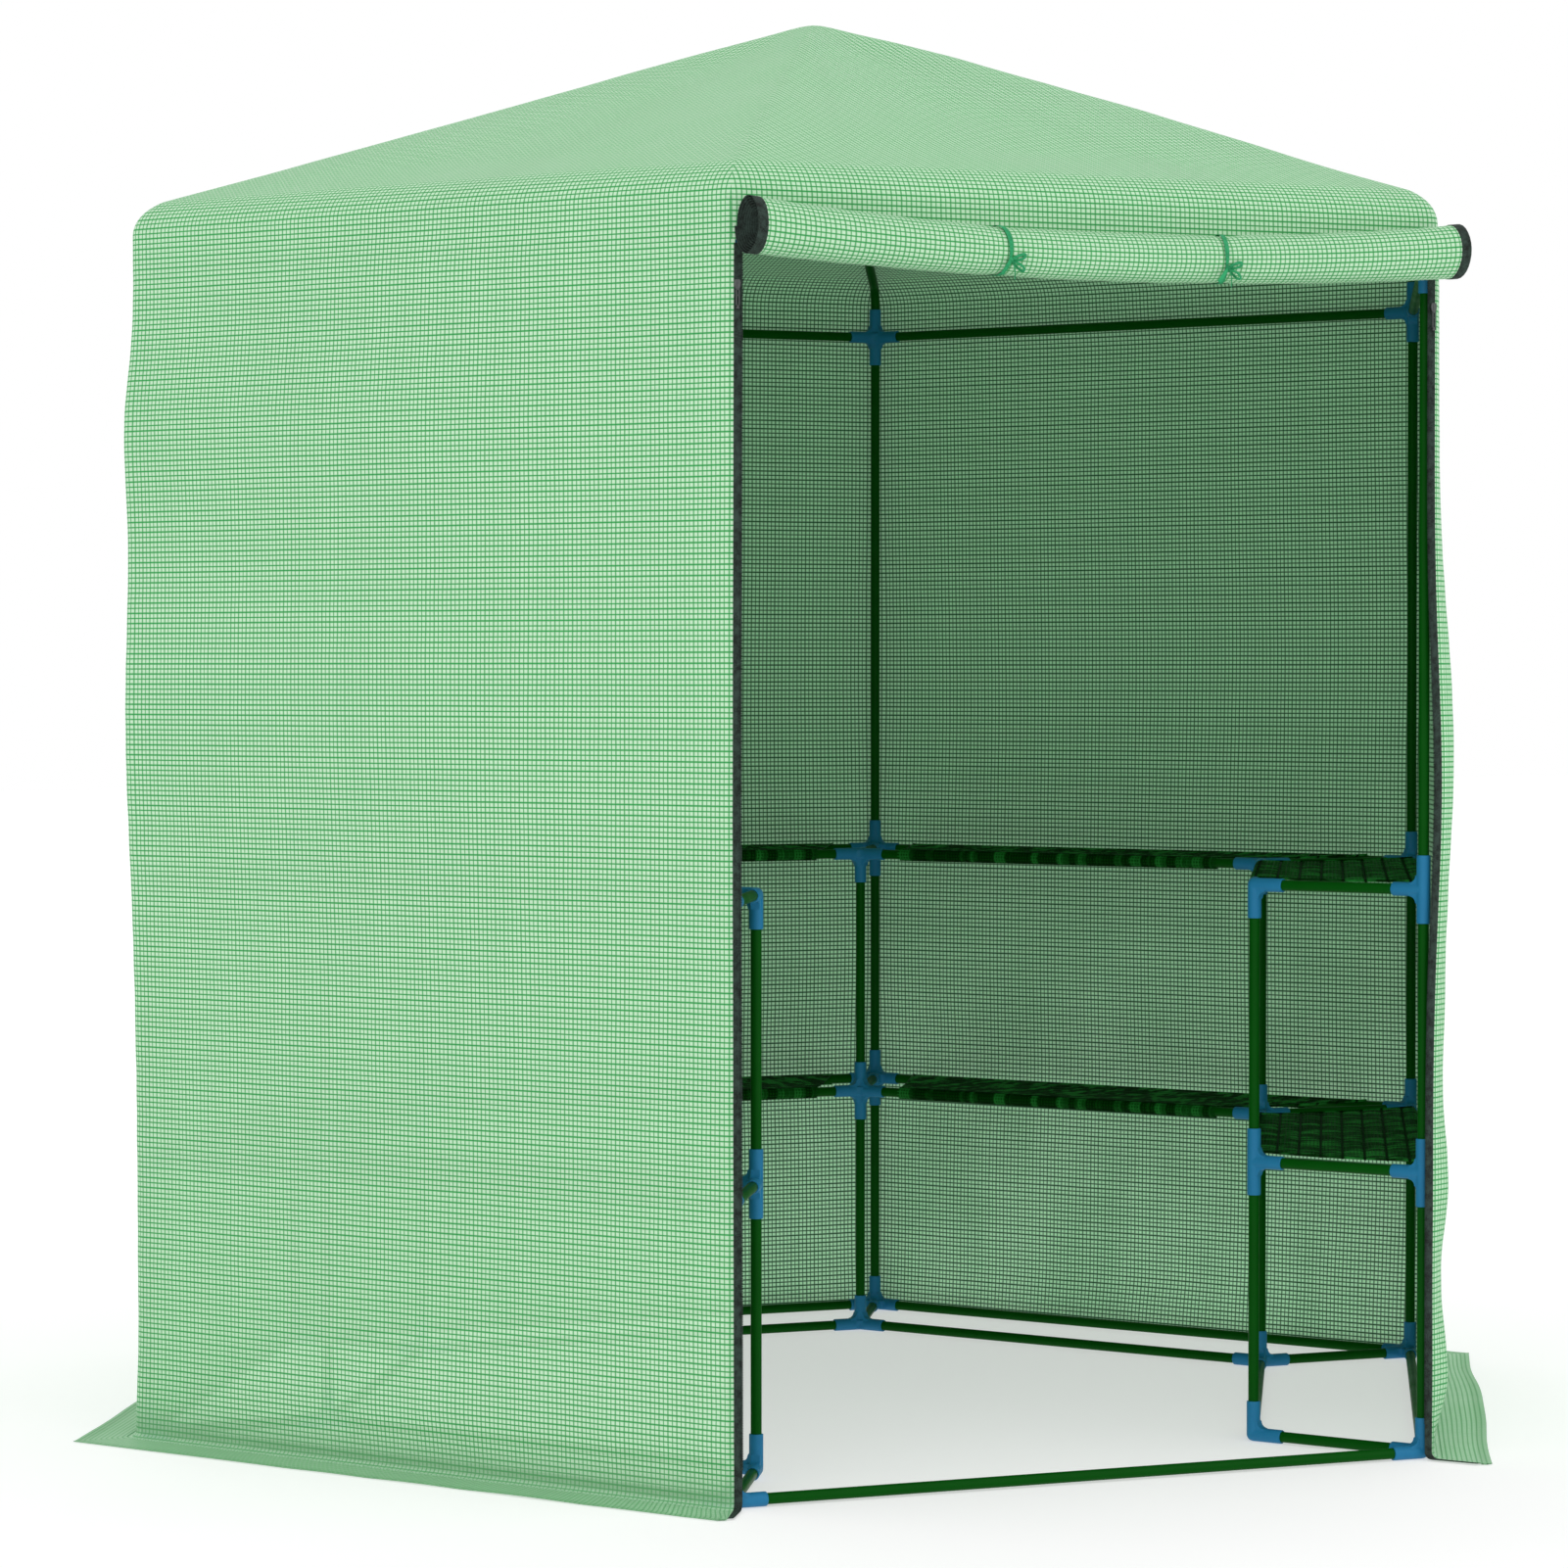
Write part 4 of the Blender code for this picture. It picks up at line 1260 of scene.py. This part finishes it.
def add_teeth(name, grid, sign):
    """Teeth of the zip along the tape's free edge, from just above the foot."""
    edge = grid[:, -1 if sign > 0 else 0]
    beside = grid[:, -2 if sign > 0 else 1]
    length = cloth_length(np.linalg.norm(np.diff(edge, axis=0), axis=1))
    shape = Shape()
    for place in np.arange(0.13, length[-1] - 0.002, TOOTH_PITCH):
        spot = Vector([np.interp(place, length, edge[:, axis]) for axis in range(3)])
        back = Vector([np.interp(place, length, beside[:, axis]) for axis in range(3)])
        out = (spot - back).normalized()
        shape.sweep([spot - out * 0.0022, spot + out * 0.0012], oblong(0.0013, 0.0018),
                    side=(0, 0, 1))
    piece = add_piece(name, shape.mesh(name, sharp=40), "zip_tape")
    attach(piece, "greenhouse")


# ---- the rolled door -------------------------------------------------------------------

ROLL_Y = (ROLL_LOW.y + ROLL_HIGH.y) / 2
ROLL_R = (ROLL_HIGH.y - ROLL_LOW.y) / 2
ROLL_MIDDLE_X = (ROLL_LOW.x + ROLL_HIGH.x) / 2
ROLL_HALF = (ROLL_HIGH.x - ROLL_LOW.x) / 2
ROLL_END_Z = ROLL_HIGH.z - ROLL_R
ROLL_WAIST = 0.0355              # radius at mid length
ROLL_SAG = 0.027
ROLL_CORE = 0.0055
ROLL_PITCH = 0.0029              # one turn to the next
ROLL_HOLLOW = 0.030              # the middle of each end lies this deep
TIE_PINCH, TIE_PINCH_WIDE = 0.0022, 0.022
TIE_X = abs(middle("door_tie_left").x)
BAND = 0.014                     # zip tape round each end of the roll
BAND_LIFT = 0.0009               # its face above the film
BAND_THICKNESS = 0.0007
BAND_LAP = 0.0010                # and how far it stands past the roll's end
PANEL_STUB = 0.008               # panel that shows while the door is rolled up
PANEL_LEFT = -0.5430             # edges of the doorway between the zip tapes
PANEL_RIGHT = 0.5435


def roll_shape(x):
    """Axis height and radius of the roll at x, with a waist at each tie."""
    share = (x - ROLL_MIDDLE_X) / ROLL_HALF
    dip = 1 - share ** 2
    radius = ROLL_R + (ROLL_WAIST - ROLL_R) * dip
    for tie in (-TIE_X, TIE_X):
        radius = radius - TIE_PINCH * np.exp(-(((x - tie) / TIE_PINCH_WIDE) ** 2))
    return ROLL_END_Z - ROLL_SAG * dip, radius


def roll_spiral(turns_step=28):
    """Angles, radii and cloth length of the roll's spiral, from inside out. The
    last half turn runs down the back, where the panel hangs from the header."""
    turns = (ROLL_R - ROLL_CORE) / ROLL_PITCH
    count = int(turns * turns_step)
    angle = np.linspace(0, 2 * math.pi * turns, count)
    radius = ROLL_CORE + ROLL_PITCH * angle / (2 * math.pi)
    steps = np.hypot(np.diff(radius), np.diff(angle) * (radius[1:] + radius[:-1]) / 2)
    return angle - angle[-1], radius, cloth_length(steps)


def roll_surface(xs, angle, radius, extra=0.0):
    """Grid of points on the spiral; extra lifts it off the surface."""
    grid_x, grid_angle = np.meshgrid(xs, angle)
    _, grid_radius = np.meshgrid(xs, radius)
    drawn_in = ROLL_HOLLOW / ROLL_HALF * (1 - grid_radius / ROLL_R)
    grid_x = grid_x - (grid_x - ROLL_MIDDLE_X) * drawn_in
    axis_z, size = roll_shape(grid_x)
    scaled = (grid_radius + extra) * size / ROLL_R
    spot = np.stack([grid_x, np.sin(grid_angle) * 0.04, np.cos(grid_angle) * 0.04],
                    axis=-1).reshape(-1, 3)
    waves = folds_at(spot, ROLL_FOLDS, grid_x.shape)
    outer = smoothstep((grid_radius - ROLL_R + 0.012) / 0.012)
    scaled = scaled - np.abs(waves) * outer
    y = ROLL_Y + scaled * np.cos(grid_angle)
    z = axis_z + scaled * np.sin(grid_angle)
    return np.stack([grid_x, y, z], axis=-1)


def squash_to_door(piece):
    """Gives the piece a mesh of its own, a copy of the one it had."""
    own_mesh(piece)


def build_roll():
    angle, radius, length = roll_spiral()
    xs = np.linspace(ROLL_HIGH.x - BAND / 2, ROLL_LOW.x + BAND / 2, 73)
    points = roll_surface(xs, angle, radius)
    roll = add_sheet_piece("door_panel_roll", points, weave_of(xs, length), "door_roll")
    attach(roll, "door")
    squash_to_door(roll)
    for side, inner, outer in (("left", ROLL_LOW.x - BAND_LAP, ROLL_LOW.x + BAND),
                               ("right", ROLL_HIGH.x - BAND, ROLL_HIGH.x + BAND_LAP)):
        across = np.linspace(inner, outer, 6)
        over = roll_surface(across, angle, radius, BAND_LIFT)
        under = roll_surface(across, angle, radius, BAND_LIFT - BAND_THICKNESS)
        mesh = mesh_from(f"door_panel_zip_{side}",
                         np.concatenate([over.reshape(-1, 3), under.reshape(-1, 3)]),
                         closed_sheet_faces(*over.shape[:2]))
        band = add_piece(f"door_panel_zip_{side}", mesh, "zip_tape")
        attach(band, "door")
        squash_to_door(band)
    panel = build_hanging_panel()


def inverse_smoothstep(share):
    """Where smoothstep reaches a share; it spaces the rows of the hanging panel."""
    return 0.5 - np.sin(np.arcsin(np.clip(1 - 2 * share, -1, 1)) / 3)


def build_hanging_panel():
    """The panel between header and roll, a few millimetres long, as it is while the
    door is rolled up. Its rows, cloth metres and edges are laid out for the door's whole
    drop."""
    top, low = HEADER_LOW_Z, HEADER_LOW_Z - PANEL_STUB
    drawn = np.linspace(0, 1, 170)
    heights = top + (low - top) * inverse_smoothstep(drawn)
    y = ROLL_HIGH.y + 0.0004
    hung_z = top - drawn * DOOR_TRAVEL
    first_x = PANEL_LEFT - slack(EDGE_SLACK["front_left"], hung_z)
    last_x = PANEL_RIGHT + slack(EDGE_SLACK["front_right"], hung_z)
    pieces = []
    spans = (("door_panel_hanging", last_x - 0.001, first_x + 0.001, 61, "cover", 0.0),
             ("door_panel_edge_left", first_x + BAND, first_x, 4, "zip_tape", -0.0006),
             ("door_panel_edge_right", last_x, last_x - BAND, 4, "zip_tape", -0.0006))
    for name, first, last, columns, slot, forward in spans:
        grid_x = np.linspace(first, last, columns, axis=-1)
        grid_z = np.broadcast_to(heights[:, None], grid_x.shape)
        points = np.stack([grid_x, np.full_like(grid_x, y + forward), grid_z], axis=-1)
        weave = np.stack([grid_x, np.broadcast_to(hung_z[:, None], grid_x.shape)], axis=-1)
        piece = add_sheet_piece(name, points, weave, None, slot)
        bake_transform(piece)
        pieces.append(piece)
    return pieces


# ---- ties and sliders --------------------------------------------------------------------


TIE_WIDE, RIBBON_THICK = 0.0068, 0.0005
BOW_WIDE = 0.0052
KNOT_TURN = 205                  # degrees round the roll, from the back over the top
KNOT_R = 0.0034
KNOT_HALF = 0.0042
TIE_LEAN = 0.006                 # the band slants this far to each side
BOW_LOOPS = ((0.020, 0.006, 0.007), (0.017, -0.014, 0.008))        # reach, drop, forward
BOW_TAILS = ((-0.014, -0.020, 0.004), (0.006, -0.027, 0.006))      # reach, drop, bend


def bow_points(centre, reach, drop, forward):
    """A ribbon loop that leaves a knot and comes back to it."""
    points = []
    for step in range(15):
        share = step / 14
        swing = math.sin(math.pi * share)
        spread = math.sin(2 * math.pi * share) * 0.35
        points.append((centre.x + reach * swing * (1 + 0.2 * spread),
                       centre.y - forward * swing,
                       centre.z + drop * swing + 0.010 * spread))
    return points


def tail_points(knot, reach, drop, bend):
    """A ribbon end that bows forward and hangs from a knot."""
    points = []
    for step in range(9):
        share = step / 8
        bow = bend * math.sin(math.pi * share) * 0.6
        points.append((knot.x + reach * share,
                       knot.y - 0.0035 - bow + 0.002 * share,
                       knot.z + drop * share ** 1.3))
    return points


def tie_band(x, sign, axis_z, radius):
    """The band round the roll, and its scale at each point: narrower at the knot."""
    path, scales = [], []
    steps = 40
    for step in range(steps + 1):
        angle = math.radians(70 + 360 * step / steps)
        lean = -sign * TIE_LEAN * math.cos(angle - math.pi)
        near_knot = math.exp(-((math.degrees(angle) - KNOT_TURN) / 26) ** 2)
        path.append((x + lean, ROLL_Y + radius * math.cos(angle),
                     axis_z + radius * math.sin(angle)))
        scales.append(1 - 0.35 * near_knot)
    return path, scales


def build_ties():
    for side, sign in (("left", -1), ("right", 1)):
        x = sign * TIE_X
        axis_z, size = (float(value) for value in roll_shape(np.array(x)))
        radius = size + 0.0011
        shape = Shape()
        path, scales = tie_band(x, sign, axis_z, radius)
        shape.sweep(path, oblong(TIE_WIDE, RIBBON_THICK), side=(1, 0, 0), scales=scales)
        angle, out = math.radians(KNOT_TURN), radius + 0.0018
        knot = Vector((x - TIE_LEAN * sign * math.cos(math.radians(25)),
                       ROLL_Y + out * math.cos(angle), axis_z + out * math.sin(angle)))
        ribbon = oblong(BOW_WIDE, RIBBON_THICK)
        shape.sweep([knot + Vector((0, 0, KNOT_HALF)), knot + Vector((0, -0.0016, 0)),
                     knot + Vector((0, 0.0004, -KNOT_HALF))],
                    circle(KNOT_R, 10), side=(1, 0, 0), scales=[0.5, 1.0, 0.5])
        for loop in BOW_LOOPS:
            shape.sweep(bow_points(knot, *loop), ribbon)
        for tail in BOW_TAILS:
            shape.sweep(tail_points(knot, *tail), ribbon)
        name = f"door_tie_ribbon_{side}"
        piece = add_piece(name, shape.mesh(name, sharp=60), "tie")
        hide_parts(f"door_tie_{side}")
        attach(piece, "greenhouse")
        squash_to_door(piece)


SLIDER_BODY = 0.0130             # length of the body; the pull tab hangs below it
SLIDER_WIDE = 0.0092
SLIDER_SHAPE = (0.66, 0.90, 1.0, 0.98, 0.88, 0.76, 0.60)    # widths down the body
PULL_LENGTH = 0.0258
PULL_SIDE = 0.0021               # middle to each side bar of the tab
PULL_BARS = ((0.0135, 0.0020), (0.0215, 0.0014), (0.0375, 0.0046))     # drop, height


def slider_mesh(name, x, top, back, depth):
    """Two plates with a neck, a bridge over them and a slotted pull tab."""
    front = back - depth
    pull_y = front + 0.0008
    shape = Shape()
    plate = oblong(SLIDER_WIDE, depth * 0.30)
    for into in (0.30, 0.66):
        body = [(x, back - depth * into, top - SLIDER_BODY * k / 6) for k in range(7)]
        shape.sweep(body, plate, side=(1, 0, 0), scales=SLIDER_SHAPE)
    neck = [(x, back - depth * into, top - 0.001) for into in (0.75, 0.2)]
    shape.sweep(neck, oblong(0.0022, 0.0020), side=(1, 0, 0))
    bridge = []
    for step in range(9):
        angle = math.pi * step / 8
        bridge.append((x, front + 0.0007 - 0.0002 * math.sin(angle),
                       top - SLIDER_BODY / 2 + 0.0045 * math.cos(angle)))
    shape.sweep(bridge, oblong(0.0022, 0.0009), side=(1, 0, 0))
    for side in (-PULL_SIDE, PULL_SIDE):
        rail = [(x + side, pull_y, top - SLIDER_BODY - PULL_LENGTH * k / 8)
                for k in range(9)]
        shape.sweep(rail, oblong(0.0016, 0.0011), side=(1, 0, 0))
    for drop, tall in PULL_BARS:
        bar = [(x - 0.0029, pull_y, top - drop), (x + 0.0029, pull_y, top - drop)]
        shape.sweep(bar, oblong(tall, 0.0011), side=(0, 0, 1))
    return shape.mesh(name, sharp=40)


def build_sliders():
    """Die-cast sliders. Each runs on the face of its tape, just in front of its
    CAD node."""
    back = -(APOTHEM + WALL_REACH) - TAPE_LIFT - 0.0006
    for side in ("left", "right"):
        low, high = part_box(f"zip_slider_{side}")
        name = f"slider_{side}"
        mesh = slider_mesh(name, (low.x + high.x) / 2, high.z, back, high.y - low.y)
        piece = add_piece(name, mesh, "zip_slider")
        soften = piece.modifiers.new("Soften", "BEVEL")
        soften.width = 0.0002
        soften.segments = 2
        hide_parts(f"zip_slider_{side}")
        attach(piece, f"{side}_slider")


# ---- floor, light and camera -----------------------------------------------------------


FLOOR_HALF = 40
LAMPS = {                        # place, diameter and watts
    "key": ((-5.0, -6.5, 5.5), 4.0, 60.0),
    "fill": ((5.0, -6.0, 3.0), 4.0, 30.0),
}
LAMPS_AIM = Vector((0, 0, 0.9))
CAMERA_PLACE = Vector((-3.3061, -7.3555, 1.1548))
CAMERA_YAW, CAMERA_PITCH = 23.869, -1.278       # degrees right of +Y, and up
CAMERA_LENS = 116.48                            # mm, on a frame 36 mm wide


def build_floor():
    """A pale floor that glows a little, so that it stays white in the picture."""
    half = FLOOR_HALF
    corners = [(-half, -half, 0), (half, -half, 0), (half, half, 0), (-half, half, 0)]
    floor_mesh = mesh_from("floor", corners, [(0, 1, 2, 3)])
    floor = bpy.data.objects.new("floor", floor_mesh)
    bpy.context.scene.collection.objects.link(floor)
    floor.location.z = -0.0003
    n = Nodes("floor")
    speck = n.noise(n.place(), 2.0)
    n.colour(n.mix(speck, (0.52, 0.52, 0.52), (0.54, 0.54, 0.54)))
    n.roughness(0.9)
    n.specular(0.1)
    n.shader.inputs["Emission Color"].default_value = (1, 1, 1, 1)
    n.shader.inputs["Emission Strength"].default_value = 0.51
    floor_mesh.materials.append(n.material)


def build_light():
    world = bpy.data.worlds.new("studio")
    world.use_nodes = True
    world.node_tree.nodes["Background"].inputs["Color"].default_value = (1, 1, 1, 1)
    world.node_tree.nodes["Background"].inputs["Strength"].default_value = 1.0
    bpy.context.scene.world = world
    bpy.context.scene.view_settings.view_transform = "Standard"

    for name, (place, size, power) in LAMPS.items():
        lamp = bpy.data.lights.new(name, "AREA")
        lamp.shape = "DISK"
        lamp.size = size
        lamp.energy = power
        light = bpy.data.objects.new(name, lamp)
        bpy.context.scene.collection.objects.link(light)
        light.location = place
        aim = LAMPS_AIM - Vector(place)
        light.rotation_euler = aim.to_track_quat("-Z", "Y").to_euler()


def build_camera():
    yaw, pitch = math.radians(CAMERA_YAW), math.radians(CAMERA_PITCH)
    forward = Vector((math.sin(yaw) * math.cos(pitch), math.cos(yaw) * math.cos(pitch),
                      math.sin(pitch)))
    right = Vector((math.cos(yaw), -math.sin(yaw), 0))
    up = right.cross(forward)
    data = bpy.data.cameras.new("camera")
    data.lens = CAMERA_LENS
    data.sensor_width = 36.0
    data.clip_end = 200.0
    camera = bpy.data.objects.new("camera", data)
    bpy.context.scene.collection.objects.link(camera)
    turn = Matrix((right, up, -forward)).transposed().to_4x4()
    camera.matrix_world = Matrix.Translation(CAMERA_PLACE) @ turn
    bpy.context.scene.camera = camera


build_camera()
build_floor()
build_light()
build_posts()
build_rails()
build_rafters()
build_connectors()
build_crown()
build_nets()
build_walls()
build_stitching()
build_roof()
build_header()
build_zip_tapes()
build_ties()
build_roll()
build_sliders()
